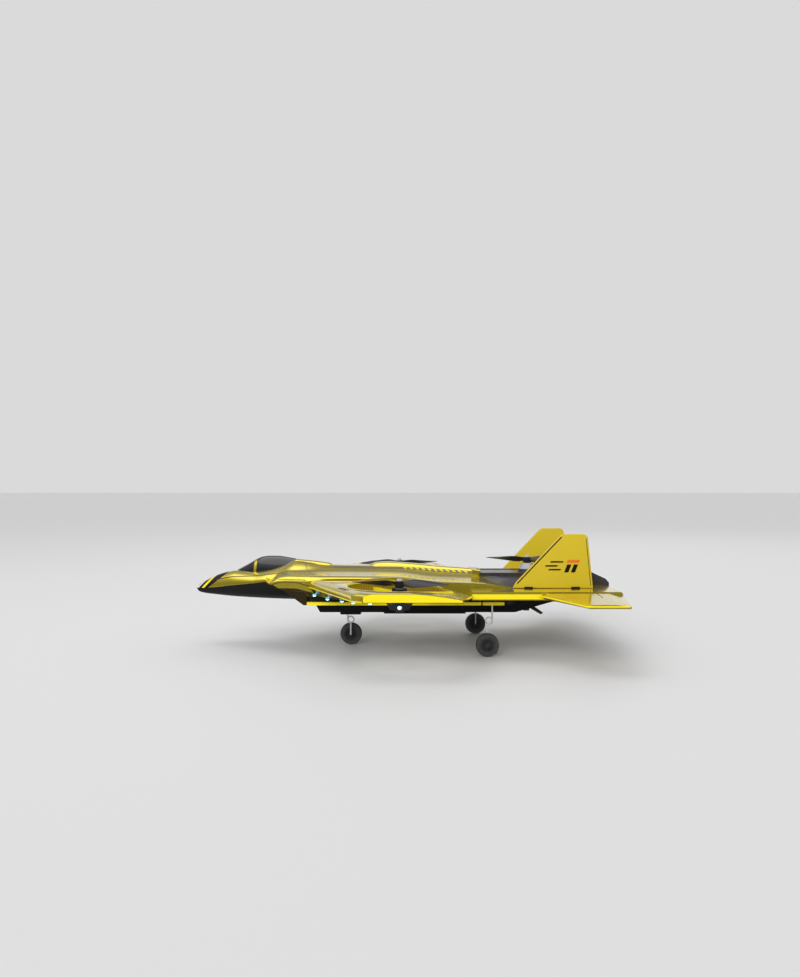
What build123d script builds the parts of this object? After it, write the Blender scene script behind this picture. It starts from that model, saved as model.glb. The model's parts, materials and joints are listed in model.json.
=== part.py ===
from build123d import *
from math import cos, radians, sin, sqrt
import os

# Radio-controlled jet plane with three lifting rotors, in millimetres.
# The nose points along -Y, the left (port) side along +X and up along +Z.
# The origin is on the ground under the middle of the outer box.

os.makedirs("parts", exist_ok=True)

# ---------------------------------------------------------------- driving sizes
nose_y = -200.0                # tip of the nose
tail_y = 200.0                 # rearmost edge of the exhaust
nose_z = 55.0                  # height of the nose tip
body_half_width = 61.0         # fuselage side where the wing joins
shell_floor = 53.6             # underside of the upper shell and rear deck
deck_top = 60.9                # top of the rear deck
deck_half_width = body_half_width + 29.0
deck_front = 60.0
deck_rear = 192.0
spine_end = 73.0               # rear end of the spine, front of the engine cover
flank_end = 100.0              # where the shell's flanks have sunk to the deck
spine_spread = 22.0            # distance from the centreline at which the spine has fallen by half

tray_half_width = body_half_width - 5.0
tray_bottom = 45.5
tray_front = -87.0
tray_rear = 96.0
tray_tail = 165.0
tray_tail_half_width = 34.0
wall = 1.6                     # moulded wall of tray, pan and intakes

boundary_front_z = 54.2        # seam between the upper shell and the lower nose, at the tip
boundary_rear_y = -127.0
boundary_rear_z = 64.0         # the same seam where it meets the intake
lip_front_y = -122.0           # front edge of the intake shoulders
lip_half_width = body_half_width - 7.0
nose_half_width = 35.0         # fuselage side between the intakes

duct_radius = 46.0
duct_wall = 1.6
duct_margin = 3.0              # wing between the fuselage side and the duct
duct_x = body_half_width + duct_margin + duct_radius
duct_y = -3.0

wing_tip_x = duct_x + duct_radius + 14.0
wing_root_front = -94.0
wing_corner_x = wing_tip_x - 8.0
wing_corner_y = -42.0
wing_tip_front = -32.0
wing_tip_rear = 47.0
wing_kink_x = body_half_width + 33.0
wing_rear = 60.0
wing_top = 68.4
wing_root_bottom = shell_floor
wing_tip_bottom = 61.2
wing_edge = 2.3                # thickness of the trailing edge

rotor_radius = 42.5
blade_z = 70.5
rear_blade_z = 82.6
rear_rotor_y = 121.0
hub_radius = 5.2
hub_below = 3.2                # hub depth below the blades
hub_above = 2.2                # hub height above the blades
shaft_radius = 1.0
running_gap = 0.05             # radial running clearance of shafts and axles
axial_gap = 0.4                # end clearance of spinning parts
motor_radius = 6.5
motor_height = 13.0
cup_wall = 1.8
arm_width = 3.4
arm_height = 3.0
arm_count = 3
pod_radius = 12.5
pod_height = 5.5
pod_lamp_radius = 2.6
pod_socket = 1.6               # depth of the lamp's socket in the pod

canopy_front = -160.6
bow_y = -141.7
bow_width = 2.2
canopy_rear = -103.0
fairing_rear = -69.0
dorsal_front = -30.0
dorsal_half_width = 11.0

fin_x = body_half_width - 0.2
fin_thickness = 3.0
fin_front = 99.4
fin_rear = 171.8
fin_top = 110.0
fin_top_front = 143.7
fin_top_rear = 169.0
fin_corner = 4.0

stab_tip_x = deck_half_width + 66.0
stab_root_front = 119.0
stab_tip_front = 147.0
stab_tip_rear = 182.5
stab_tip_bottom = 54.8
stab_tip_thickness = 3.2
peg_height = 3.0               # peg under each stabiliser

cover_half_base = 50.0
cover_half_top = 23.0
cover_rim = 68.4               # where the cover's slopes meet its upright rim
cover_top = 71.5
cover_rear = 178.0
nozzle_half_width = 30.0
nozzle_top = 72.3
nozzle_depth = 6.4             # height of the nozzle block under the deck

pan_front = -83.0
pan_rear = 140.0
pan_bottom = 34.5
pan_half_top = tray_tail_half_width
pan_half_bottom = 26.0
pan_rear_rise = 34.0           # how far the pan's floor stops short of its rear end
cradle_y = 70.0                # flat pad under the pan that a stand or cradle carries
cradle_length = 12.0
cradle_width = 36.0
cradle_height = 0.8

hatch_length = 60.0
hatch_width = 30.0
hatch_front = -18.0
hatch_travel = 18.0
hatch_thickness = 1.2
slide_gap = 0.3                # clearance round sliding parts

wheel_radius = 10.5
tyre_width = 9.0
rim_radius = 6.2
groove = 0.4                   # depth of the ring groove in each tyre wall
leg_x = tray_half_width + 3.0
wheel_x = leg_x + 6.0
main_wheel_y = 76.0
nose_wheel_y = -50.0
wire_radius = 0.6
leg_y = 81.0
coil_radius = 3.0
nose_leg_x = 6.2
nose_leg_y = -45.0

rail_height = 2.8
rail_width = 5.4
plate_front = 72.3
plate_rear = 92.0


def across(y):
    """Plane across the fuselage at length y, drawn in X and Z."""
    return Plane.XZ.offset(-y)


def along(x):
    """Plane along the fuselage at width x, drawn in Y and Z."""
    return Plane.YZ.offset(x)


def save(name, piece):
    """Label a finished sub-part and write its STEP file."""
    piece.part.label = name
    export_step(piece.part, "parts/" + name + ".step")


def crown(half_width, top, edge, spine, steps=4):
    """Points of an upper section line, from one side to the other.

    The line is part ellipse and part spine: the spine falls off as
    1 / (1 + (x / spread)^3) from the centreline."""
    points = []
    for step in range(-steps, steps + 1):
        x = half_width * step / steps
        ellipse = sqrt(max(0.0, 1 - (step / steps) ** 2))
        ridge = 1 / (1 + (abs(x) / spine_spread) ** 3)
        points.append((x, edge + (top - edge) * ((1 - spine) * ellipse + spine * ridge)))
    return points


# ---------------------------------------------------------------- upper shell and nose
# nose stations: length, half width, top, chine height, bottom
nose_stations = (
    (nose_y, 1.0, nose_z + 1.2, nose_z, nose_z - 1.2),
    (nose_y + 3, 3.4, nose_z + 3.6, nose_z, nose_z - 4.2),
    (nose_y + 8, 6.0, nose_z + 6.2, nose_z + 0.5, nose_z - 5.2),
    (nose_y + 17.5, 10.5, nose_z + 11.1, nose_z + 1.5, nose_z - 6.2),
    (nose_y + 39, 20.5, nose_z + 16.9, nose_z + 4.5, nose_z - 8.2),
    (bow_y, 28.5, nose_z + 16.9, nose_z + 7, nose_z - 9.2),
    (boundary_rear_y, 33.0, nose_z + 18.6, nose_z + 9, nose_z - 9.9),
    (canopy_rear, nose_half_width, nose_z + 26.5, nose_z + 8, nose_z - 10.6),
    (tray_front, nose_half_width, nose_z + 24.6, nose_z + 6, nose_z - 10.8),
)

with BuildPart() as nose_form:
    for length, half_width, top, chine, bottom in nose_stations:
        with BuildSketch(across(length)):
            with BuildLine():
                Spline(*crown(half_width, top, chine, 0))
                Spline(*crown(half_width, bottom, chine, 0))
            make_face()
    loft(ruled=True)

# shoulder stations: length, half width, top on the centreline, edge height;
# the edge rises to a crest beside the wing ducts
shoulder_stations = (
    (lip_front_y, lip_half_width, nose_z + 15, nose_z + 9.4),
    (canopy_rear, lip_half_width + 4, nose_z + 26.5, nose_z + 10.8),
    (tray_front, body_half_width, nose_z + 24.8, nose_z + 12.5),
    (fairing_rear, body_half_width, nose_z + 22.8, nose_z + 15.6),
    (dorsal_front, body_half_width, nose_z + 22.2, nose_z + 15.2),
    (duct_y, body_half_width, nose_z + 22.0, nose_z + 13.8),
    (deck_front - 24, body_half_width, nose_z + 19.6, nose_z + 11.8),
    (spine_end, body_half_width, nose_z + 16.8, nose_z + 10.0),
    (flank_end, body_half_width, deck_top + 0.6, deck_top + 0.4),
)

with BuildPart() as shoulder_form:
    for length, half_width, top, edge in shoulder_stations:
        line = crown(half_width, top, edge, 1)
        with BuildSketch(across(length)):
            with BuildLine():
                Spline(*line)
                Polyline(line[-1], (half_width, shell_floor - 4), (-half_width, shell_floor - 4), line[0])
            make_face()
    loft(ruled=True)

# everything under the seam, drawn from the side: lower nose, intake mouths, tray and deck
with BuildPart() as under_form:
    with BuildSketch(Plane.YZ):
        with BuildLine():
            Polyline(
                (nose_y - 5, 0), (nose_y - 5, boundary_front_z - 0.4), (boundary_rear_y, boundary_rear_z),
                (lip_front_y, boundary_rear_z), (lip_front_y + 12, boundary_rear_z - 4.5),
                (tray_front, boundary_rear_z - 7), (tray_front, shell_floor), (deck_front, shell_floor),
                (deck_front, deck_top), (tail_y, deck_top), (tail_y, 0), close=True,
            )
        make_face()
    extrude(amount=wing_tip_x, both=True)

# engine cover: a flat lid on an upright rim, with sides that slope to the deck
border = 3.0
border_height = 0.6
rivet_pitch = 6.0
rivet_count = 13
rivet_radius = 0.8
rivet_height = 0.4
with BuildPart() as engine_cover:
    with BuildSketch(Plane.XY.offset(deck_top)):
        with BuildLine():
            Polyline(
                (-cover_half_base, flank_end), (-cover_half_top, spine_end), (cover_half_top, spine_end),
                (cover_half_base, flank_end), (cover_half_base, cover_rear - 12), (cover_half_base - 12, cover_rear),
                (-cover_half_base + 12, cover_rear), (-cover_half_base, cover_rear - 12), close=True,
            )
        make_face()
    with BuildSketch(Plane.XY.offset(cover_rim)):
        with BuildLine():
            Polyline(
                (-cover_half_top, flank_end), (-cover_half_top, spine_end), (cover_half_top, spine_end),
                (cover_half_top, flank_end), (cover_half_top, cover_rear - 3), (cover_half_top - 3, cover_rear),
                (-cover_half_top + 3, cover_rear), (-cover_half_top, cover_rear - 3), close=True,
            )
        make_face()
    loft(ruled=True)
    extrude(engine_cover.faces().sort_by(Axis.Z)[-1], amount=cover_top - cover_rim)
    # a border stands round the lid, and rivets run along its upright rim
    with BuildSketch(Plane.XY.offset(cover_top)):
        with Locations((0, (spine_end + cover_rear) / 2)):
            RectangleRounded(2 * cover_half_top - 2 * border, cover_rear - spine_end - 2 * border, border)
    extrude(amount=-border_height, mode=Mode.SUBTRACT)
    with BuildSketch(along(-cover_half_top - rivet_height)):
        with Locations((rear_rotor_y, (cover_rim + cover_top) / 2)):
            with GridLocations(rivet_pitch, 1, rivet_count, 1):
                Circle(rivet_radius)
    extrude(amount=2 * cover_half_top + 2 * rivet_height)
save("engine_cover", engine_cover)

with BuildPart() as upper_form:
    add(nose_form.part)
    add(shoulder_form.part)
    add(under_form.part, mode=Mode.SUBTRACT)
    add(engine_cover.part, mode=Mode.SUBTRACT)
    with BuildSketch(Plane.XY.offset(deck_top)):
        with Locations((0, spine_end)):
            Rectangle(2 * cover_half_top, 80, align=(Align.CENTER, Align.MIN))
    extrude(amount=40, mode=Mode.SUBTRACT)

# slanted seams of the nose rings: each is given by its length at the tip's height
ring_lean = 0.75
ring_seams = (nose_y + 4.5, nose_y + 5.8, nose_y + 9.5, nose_y + 12.5)


def nose_slice(front, rear):
    """Part of the upper form between two slanted seams."""
    fall, rise = nose_z - tray_bottom, fin_top - nose_z
    with BuildPart() as piece:
        add(upper_form.part)
        with BuildSketch(Plane.YZ):
            with BuildLine():
                Polyline(
                    (front - fall * ring_lean, nose_z - fall), (rear - fall * ring_lean, nose_z - fall),
                    (rear + rise * ring_lean, nose_z + rise), (front + rise * ring_lean, nose_z + rise),
                    close=True,
                )
            make_face()
        extrude(amount=2 * body_half_width, both=True, mode=Mode.INTERSECT)
    return piece


nose_tip = nose_slice(nose_y - 10, ring_seams[0])
save("nose_tip", nose_tip)
front_gasket = nose_slice(ring_seams[0], ring_seams[1])
rear_gasket = nose_slice(ring_seams[2], ring_seams[3])
with BuildPart() as nose_gaskets:
    add(front_gasket.part)
    add(rear_gasket.part)
save("nose_gaskets", nose_gaskets)
nose_collar = nose_slice(ring_seams[1], ring_seams[2])
save("nose_collar", nose_collar)
upper_shell = nose_slice(ring_seams[3], 2 * tail_y)
save("upper_shell", upper_shell)

with BuildPart() as lower_nose:
    add(nose_form.part)
    add(under_form.part, mode=Mode.INTERSECT)
save("lower_nose", lower_nose)

# ---------------------------------------------------------------- canopy and spine covers
# bubble stations: length, half width, top
bubble_stations = (
    (canopy_front, 4.0, nose_z + 17.2),
    (canopy_front + 10, 9.5, nose_z + 22.6),
    (bow_y, 13.4, nose_z + 27.8),
    (bow_y + 6, 14.6, nose_z + 30.4),
    (bow_y + 18, 15.4, nose_z + 31.0),
    (bow_y + 28, 14.6, nose_z + 30.1),
    (canopy_rear, 13.0, nose_z + 28.1),
    (canopy_rear + 18, 12.0, nose_z + 26.2),
    (fairing_rear, 11.0, nose_z + 24.1),
)

with BuildPart() as bubble_form:
    for length, half_width, top in bubble_stations:
        line = crown(half_width, top, nose_z + 10, 0)
        with BuildSketch(across(length)):
            with BuildLine():
                Spline(*line)
                Line(line[-1], line[0])
            make_face()
    loft(ruled=True)
    add(upper_form.part, mode=Mode.SUBTRACT)


def bubble_slice(front, rear):
    """Part of the bubble between two lengths."""
    with BuildPart() as piece:
        add(bubble_form.part)
        with BuildSketch(across(front)):
            Rectangle(80, 400)
        extrude(amount=-(rear - front), mode=Mode.INTERSECT)
    return piece


windshield = bubble_slice(canopy_front - 5, bow_y - bow_width / 2)
save("windshield", windshield)
canopy_bow = bubble_slice(bow_y - bow_width / 2, bow_y + bow_width / 2)
save("canopy_bow", canopy_bow)
canopy = bubble_slice(bow_y + bow_width / 2, canopy_rear)
save("canopy", canopy)
canopy_fairing = bubble_slice(canopy_rear, fairing_rear)
save("canopy_fairing", canopy_fairing)

# dorsal stations: length and top
dorsal_stations = (
    (dorsal_front, nose_z + 23.6), (dorsal_front + 13, nose_z + 25.2), (duct_y, nose_z + 24.7),
    (deck_front - 24, nose_z + 21.4), (spine_end, nose_z + 18.4),
)
with BuildPart() as dorsal_cover:
    for length, top in dorsal_stations:
        line = crown(dorsal_half_width, top, top - 6, 0)
        with BuildSketch(across(length)):
            with BuildLine():
                Spline(*line)
                Line(line[-1], line[0])
            make_face()
    loft(ruled=True)
    add(upper_form.part, mode=Mode.SUBTRACT)
save("dorsal_cover", dorsal_cover)

# ---------------------------------------------------------------- intakes, tray and rails
intake_inner = nose_half_width + 0.5
with BuildPart() as left_intake:
    with BuildSketch(along(intake_inner)):
        with BuildLine():
            Polyline(
                (lip_front_y + 13, boundary_rear_z - 4.9), (tray_front - 3, tray_bottom),
                (tray_front, tray_bottom), (tray_front, boundary_rear_z - 7), close=True,
            )
        make_face()
    extrude(amount=body_half_width - 1 - intake_inner)
    with BuildSketch(along(intake_inner + wall)):
        with BuildLine():
            Polyline(
                (lip_front_y, boundary_rear_z + 4), (lip_front_y, tray_bottom + wall),
                (tray_front, tray_bottom + wall), (tray_front, boundary_rear_z + 4), close=True,
            )
        make_face()
    extrude(amount=body_half_width - 1 - intake_inner - 2 * wall, mode=Mode.SUBTRACT)
save("left_intake", left_intake)

with BuildPart() as right_intake:
    mirror(left_intake.part, about=Plane.YZ)
save("right_intake", right_intake)

with BuildPart() as tray:
    with BuildSketch(Plane.XY.offset(tray_bottom)):
        with BuildLine():
            Polyline(
                (-tray_half_width, tray_front), (tray_half_width, tray_front), (tray_half_width, tray_rear),
                (tray_tail_half_width, tray_rear + 14), (tray_tail_half_width, tray_tail),
                (-tray_tail_half_width, tray_tail), (-tray_tail_half_width, tray_rear + 14),
                (-tray_half_width, tray_rear), close=True,
            )
        make_face()
    extrude(amount=shell_floor - tray_bottom)
    offset(amount=-wall, openings=tray.faces().sort_by(Axis.Z)[-1:])
    # air windows behind the intakes
    with BuildSketch(across(tray_front)):
        with Locations((intake_inner + wall + 8, (tray_bottom + shell_floor) / 2),
                       (-intake_inner - wall - 8, (tray_bottom + shell_floor) / 2)):
            Rectangle(14, shell_floor - tray_bottom - 2 * wall)
    extrude(amount=-wall, mode=Mode.SUBTRACT)
save("tray", tray)

for side, name in ((1, "left"), (-1, "right")):
    with BuildPart() as rail:
        with BuildSketch(Plane.XY.offset(tray_bottom)):
            with Locations((side * (tray_half_width + rail_width / 2), tray_front)):
                Rectangle(rail_width, plate_front - 1.3 - tray_front, align=(Align.CENTER, Align.MIN))
        extrude(amount=rail_height)
        fillet(rail.edges().filter_by(Axis.Z), 1.2)
    save(name + "_rail", rail)

# ---------------------------------------------------------------- rear deck, exhaust
with BuildPart() as rear_deck:
    with BuildSketch(Plane.XY.offset(shell_floor)):
        with Locations((0, deck_front)):
            Rectangle(2 * deck_half_width, deck_rear - deck_front, align=(Align.CENTER, Align.MIN))
    extrude(amount=deck_top - shell_floor)
    chamfer(rear_deck.faces().sort_by(Axis.Y)[-1].edges().filter_by(Axis.X), 1.5)
save("rear_deck", rear_deck)

louvre_count = 4
louvre_pitch = 2.7
nozzle_rear = deck_rear + 1.6
nozzle_bottom = shell_floor - nozzle_depth
with BuildPart() as exhaust:
    with BuildSketch(along(-nozzle_half_width)):
        with BuildLine():
            Polyline(
                (cover_rear, deck_top), (cover_rear, nozzle_top), (deck_rear - 1.5, nozzle_top - 5.8),
                (nozzle_rear, deck_top + 2), (nozzle_rear, shell_floor - 0.2), (tail_y, shell_floor - 0.2),
                (tail_y, nozzle_bottom + 2), (tail_y - 4, nozzle_bottom), (tray_tail, nozzle_bottom),
                (tray_tail, shell_floor), (deck_rear, shell_floor), (deck_rear, deck_top), close=True,
            )
        make_face()
    extrude(amount=2 * nozzle_half_width)
    # two flat nozzles in the rear face and a row of louvre slots down the slope above them
    with BuildSketch(across(tail_y)):
        with Locations((-nozzle_half_width / 2, shell_floor - nozzle_depth / 2),
                       (nozzle_half_width / 2, shell_floor - nozzle_depth / 2)):
            RectangleRounded(nozzle_half_width - 6, nozzle_depth - 2.6, 1.2)
    extrude(amount=tail_y - nozzle_rear, mode=Mode.SUBTRACT)
    slope = 5.8 / (deck_rear - 1.5 - cover_rear)
    for louvre in range(louvre_count):
        slot_y = cover_rear + louvre_pitch * (louvre + 0.8)
        with BuildSketch(along(3 - nozzle_half_width)):
            with Locations((slot_y, nozzle_top - slope * (slot_y - cover_rear))):
                Rectangle(1.1, 2.4, rotation=-25)
        extrude(amount=2 * nozzle_half_width - 6, mode=Mode.SUBTRACT)
save("exhaust", exhaust)

# ---------------------------------------------------------------- wings


def underside(x):
    """Height of the wing's underside at width x."""
    share = (x - body_half_width) / (wing_tip_x - body_half_width)
    return wing_root_bottom + share * (wing_tip_bottom - wing_root_bottom)


def leading_edge(x):
    """Length of the wing's leading edge at width x."""
    share = (x - body_half_width) / (wing_corner_x - body_half_width)
    return wing_root_front + share * (wing_corner_y - wing_root_front)


wing_corner_rear = wing_tip_rear + (wing_tip_x - wing_corner_x) * (wing_rear - wing_tip_rear) / (
    wing_tip_x - wing_kink_x)
# wing stations: width, front and rear; each outline has a blunt nose, a flat top and a thin rear edge
wing_stations = (
    (body_half_width, wing_root_front, wing_rear),
    (wing_kink_x, leading_edge(wing_kink_x), wing_rear),
    (wing_corner_x, wing_corner_y, wing_corner_rear),
    (wing_tip_x, wing_tip_front, wing_tip_rear),
)

with BuildPart() as wing_form:
    for x, front, rear in wing_stations:
        bottom = underside(x)
        with BuildSketch(along(x)):
            with BuildLine():
                Polyline(
                    (front, bottom + 0.62 * (wing_top - bottom)), (front + 10, wing_top),
                    (front + 0.55 * (rear - front), wing_top), (rear, bottom + wing_edge),
                    (rear, bottom), (front + 3, bottom), close=True,
                )
            make_face()
    loft(ruled=True)

with BuildPart() as left_wing:
    add(wing_form.part)
    with BuildSketch(Plane.XY.offset(wing_root_bottom - 5)):
        with Locations((duct_x, duct_y)):
            Circle(duct_radius)
    extrude(amount=40, mode=Mode.SUBTRACT)
save("left_wing", left_wing)

with BuildPart() as right_wing:
    mirror(left_wing.part, about=Plane.YZ)
save("right_wing", right_wing)

motor_top = blade_z - hub_below - axial_gap
motor_bottom = motor_top - motor_height
arm_z = motor_top - 6.5

with BuildPart() as left_motor_frame:
    with BuildSketch(Plane.XY.offset(wing_root_bottom - 5)):
        with Locations((duct_x, duct_y)):
            Circle(duct_radius)
            Circle(duct_radius - duct_wall, mode=Mode.SUBTRACT)
    extrude(amount=40)
    add(wing_form.part, mode=Mode.INTERSECT)
    with BuildSketch(Plane.XY.offset(arm_z)):
        with Locations((duct_x, duct_y)):
            with PolarLocations((duct_radius - duct_wall / 2 + motor_radius) / 2, arm_count, start_angle=90):
                Rectangle(duct_radius - duct_wall / 2 - motor_radius, arm_width)
            Circle(motor_radius + cup_wall)
            Circle(motor_radius, mode=Mode.SUBTRACT)
    extrude(amount=arm_height)
save("left_motor_frame", left_motor_frame)

with BuildPart() as right_motor_frame:
    mirror(left_motor_frame.part, about=Plane.YZ)
save("right_motor_frame", right_motor_frame)

# ---------------------------------------------------------------- motors, rotors and shafts
for side, name in ((1, "left"), (-1, "right")):
    centre = (side * duct_x, duct_y)
    with BuildPart() as motor:
        with BuildSketch(Plane.XY.offset(motor_bottom)):
            with Locations(centre):
                Circle(motor_radius)
        extrude(amount=motor_height)
        chamfer(motor.edges().filter_by(GeomType.CIRCLE).sort_by(Axis.Z)[-1], 0.8)
        with BuildSketch(Plane.XY.offset(motor_bottom + 3)):
            with Locations(centre):
                Circle(shaft_radius + running_gap)
        extrude(amount=motor_height, mode=Mode.SUBTRACT)
    save(name + "_motor", motor)

    with BuildPart() as pod:
        with BuildSketch(Plane.XY.offset(motor_bottom)):
            with Locations(centre):
                Circle(pod_radius - 1)
        with BuildSketch(Plane.XY.offset(motor_bottom - pod_height)):
            with Locations(centre):
                Circle(pod_radius - 4)
        loft()
        with BuildSketch(Plane.XY.offset(motor_bottom - pod_height - 1.2)):
            with Locations(centre):
                with GridLocations(2 * pod_radius - 9, 1, 2, 1):
                    RectangleRounded(4, 7, 1)
        extrude(amount=4)
        with BuildSketch(Plane.XY.offset(motor_bottom - pod_height)):
            with Locations(centre):
                Circle(pod_lamp_radius)
        extrude(amount=pod_socket, mode=Mode.SUBTRACT)
    save(name + "_lamp_pod", pod)


def make_rotor(name, x, y, z, heading, hand, reach):
    """Two-bladed rotor, and its shaft with the nut on top; the shaft runs reach below the hub."""
    with BuildPart() as rotor:
        with BuildSketch(Plane.XY.offset(z - hub_below)):
            with Locations((x, y)):
                Circle(hub_radius)
        extrude(amount=hub_below + hub_above)
        for blade in (0, 180):
            angle = radians(heading + blade)
            outward = Vector(cos(angle), sin(angle), 0)
            sideways = Vector(-sin(angle), cos(angle), 0)
            # blade stations: share of the radius, chord, thickness, pitch in degrees, sweep
            for share, chord, thick, pitch, sweep in (
                (0.09, 6.0, 2.2, 30, 0.0), (0.32, 11.5, 1.6, 22, 1.2), (0.68, 10.0, 1.2, 14, 0.8),
                (1.0, 4.6, 0.8, 8, -1.2),
            ):
                middle = Vector(x, y, z) + outward * (rotor_radius * share) + sideways * (sweep * hand)
                tilt = sideways * cos(radians(pitch)) + Vector(0, 0, hand * sin(radians(pitch)))
                with BuildSketch(Plane(origin=middle, x_dir=tilt, z_dir=outward)):
                    Ellipse(chord / 2, thick / 2)
            loft()
        with BuildSketch(Plane.XY.offset(z - hub_below)):
            with Locations((x, y)):
                Circle(shaft_radius)
        extrude(amount=hub_below + hub_above, mode=Mode.SUBTRACT)
    save(name + "_rotor", rotor)

    with BuildPart() as shaft:
        with BuildSketch(across(y)):
            with BuildLine():
                Polyline(
                    (x, z - hub_below - reach), (x + shaft_radius, z - hub_below - reach),
                    (x + shaft_radius, z + hub_above), (x + 3.2, z + hub_above), (x + 3.2, z + hub_above + 0.8),
                    (x + 2.4, z + hub_above + 2.0), (x, z + hub_above + 2.0), close=True,
                )
            make_face()
        revolve(axis=Axis((x, y, 0), (0, 0, 1)))
    save(name + "_shaft", shaft)


mount_height = 2.5
rear_motor_top = rear_blade_z - hub_below - axial_gap
rear_motor_base = cover_top - border_height + mount_height
shaft_reach = 9.0
rear_shaft_reach = rear_blade_z - hub_below - rear_motor_base - 0.8
make_rotor("left", duct_x, duct_y, blade_z, 78, 1, shaft_reach)
make_rotor("right", -duct_x, duct_y, blade_z, 102, -1, shaft_reach)
make_rotor("rear", 0, rear_rotor_y, rear_blade_z, 65, 1, rear_shaft_reach)

rear_motor_radius = 8.0
with BuildPart() as rear_motor_mount:
    with BuildSketch(Plane.XY.offset(cover_top - border_height)):
        with Locations((0, rear_rotor_y)):
            Circle(rear_motor_radius + 1.6)
    with BuildSketch(Plane.XY.offset(rear_motor_base)):
        with Locations((0, rear_rotor_y)):
            Circle(rear_motor_radius + 0.4)
    loft()
save("rear_motor_mount", rear_motor_mount)

with BuildPart() as rear_motor:
    with BuildSketch(across(rear_rotor_y)):
        with BuildLine():
            Polyline(
                (0, rear_motor_base), (rear_motor_radius, rear_motor_base),
                (rear_motor_radius, rear_motor_base + 0.8), (hub_radius, rear_motor_top), (0, rear_motor_top),
                close=True,
            )
        make_face()
    revolve(axis=Axis((0, rear_rotor_y, 0), (0, 0, 1)))
    with BuildSketch(Plane.XY.offset(rear_motor_base + 0.4)):
        with Locations((0, rear_rotor_y)):
            Circle(shaft_radius + running_gap)
    extrude(amount=rear_motor_top - rear_motor_base, mode=Mode.SUBTRACT)
save("rear_motor", rear_motor)

# ---------------------------------------------------------------- lights
lamp_count = 5
lamp_radius = 2.3
lamp_inset = 7.0
lamp_drop = 1.6                # how far a lamp hangs below the wing
lamp_height = 4.0
pod_lamp_drop = 1.0
for side, name in ((1, "left"), (-1, "right")):
    with BuildPart() as lamps:
        first, last = body_half_width + 6, wing_corner_x - 20
        for lamp in range(lamp_count):
            x = first + lamp * (last - first) / (lamp_count - 1)
            y = leading_edge(x) + lamp_inset
            with BuildSketch(Plane.XY.offset(underside(x) - lamp_drop)):
                with Locations((side * x, y)):
                    Circle(lamp_radius)
            extrude(amount=lamp_height)
        add(left_wing.part if side > 0 else right_wing.part, mode=Mode.SUBTRACT)
        with BuildSketch(Plane.XY.offset(motor_bottom - pod_height - pod_lamp_drop)):
            with Locations((side * duct_x, duct_y)):
                Circle(pod_lamp_radius)
        extrude(amount=pod_lamp_drop + pod_socket)
    save(name + "_lamps", lamps)

# ---------------------------------------------------------------- fins and stabilisers
for side, name in ((1, "left"), (-1, "right")):
    with BuildPart() as fin:
        with BuildSketch(along(side * fin_x)):
            with BuildLine():
                Polyline(
                    (fin_front, deck_top), (fin_front + 1.8, deck_top + 4.4), (fin_top_front, fin_top),
                    (fin_top_rear - 2, fin_top), (fin_rear, deck_top), close=True,
                )
            make_face()
        extrude(amount=fin_thickness / 2, both=True)
        fillet(fin.edges().filter_by(Axis.X).group_by(Axis.Z)[-1], fin_corner)
    save(name + "_fin", fin)

with BuildPart() as fin_clips:
    for side in (1, -1):
        with BuildSketch(Plane.XY.offset(deck_top)):
            with Locations((side * (fin_x + fin_thickness / 2 + 0.6), fin_front + 14),
                           (side * (fin_x + fin_thickness / 2 + 0.6), fin_rear - 16)):
                Rectangle(1.2, 7.6)
        extrude(amount=1.6)
save("fin_clips", fin_clips)

with BuildPart() as left_stabiliser:
    for x, front, rear, bottom, thick in (
        (deck_half_width, stab_root_front, deck_rear, shell_floor + 1.4, deck_top - shell_floor - 2.2),
        (stab_tip_x, stab_tip_front, stab_tip_rear, stab_tip_bottom, stab_tip_thickness),
    ):
        with BuildSketch(along(x)):
            with BuildLine():
                Polyline(
                    (front, bottom + 0.5 * thick), (front + 6, bottom + thick), (rear - 12, bottom + thick),
                    (rear, bottom + 0.6 * thick), (rear, bottom), (front + 3, bottom), close=True,
                )
            make_face()
    loft(ruled=True)
    with BuildSketch(Plane.XY.offset(stab_tip_bottom - peg_height)):
        with Locations(((deck_half_width + stab_tip_x) / 2, stab_tip_front + 10)):
            Circle(1.3)
    extrude(until=Until.NEXT)
save("left_stabiliser", left_stabiliser)

with BuildPart() as right_stabiliser:
    mirror(left_stabiliser.part, about=Plane.YZ)
save("right_stabiliser", right_stabiliser)

# ---------------------------------------------------------------- belly pan and what it holds
hatch_middle = hatch_front + hatch_length / 2
switch_y = 84.0
switch_slot = 9.0
switch_width = 4.0
switch_travel = 3.5
guide_lip = 0.8
guide_height = hatch_thickness + 2 * slide_gap + guide_lip

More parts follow.
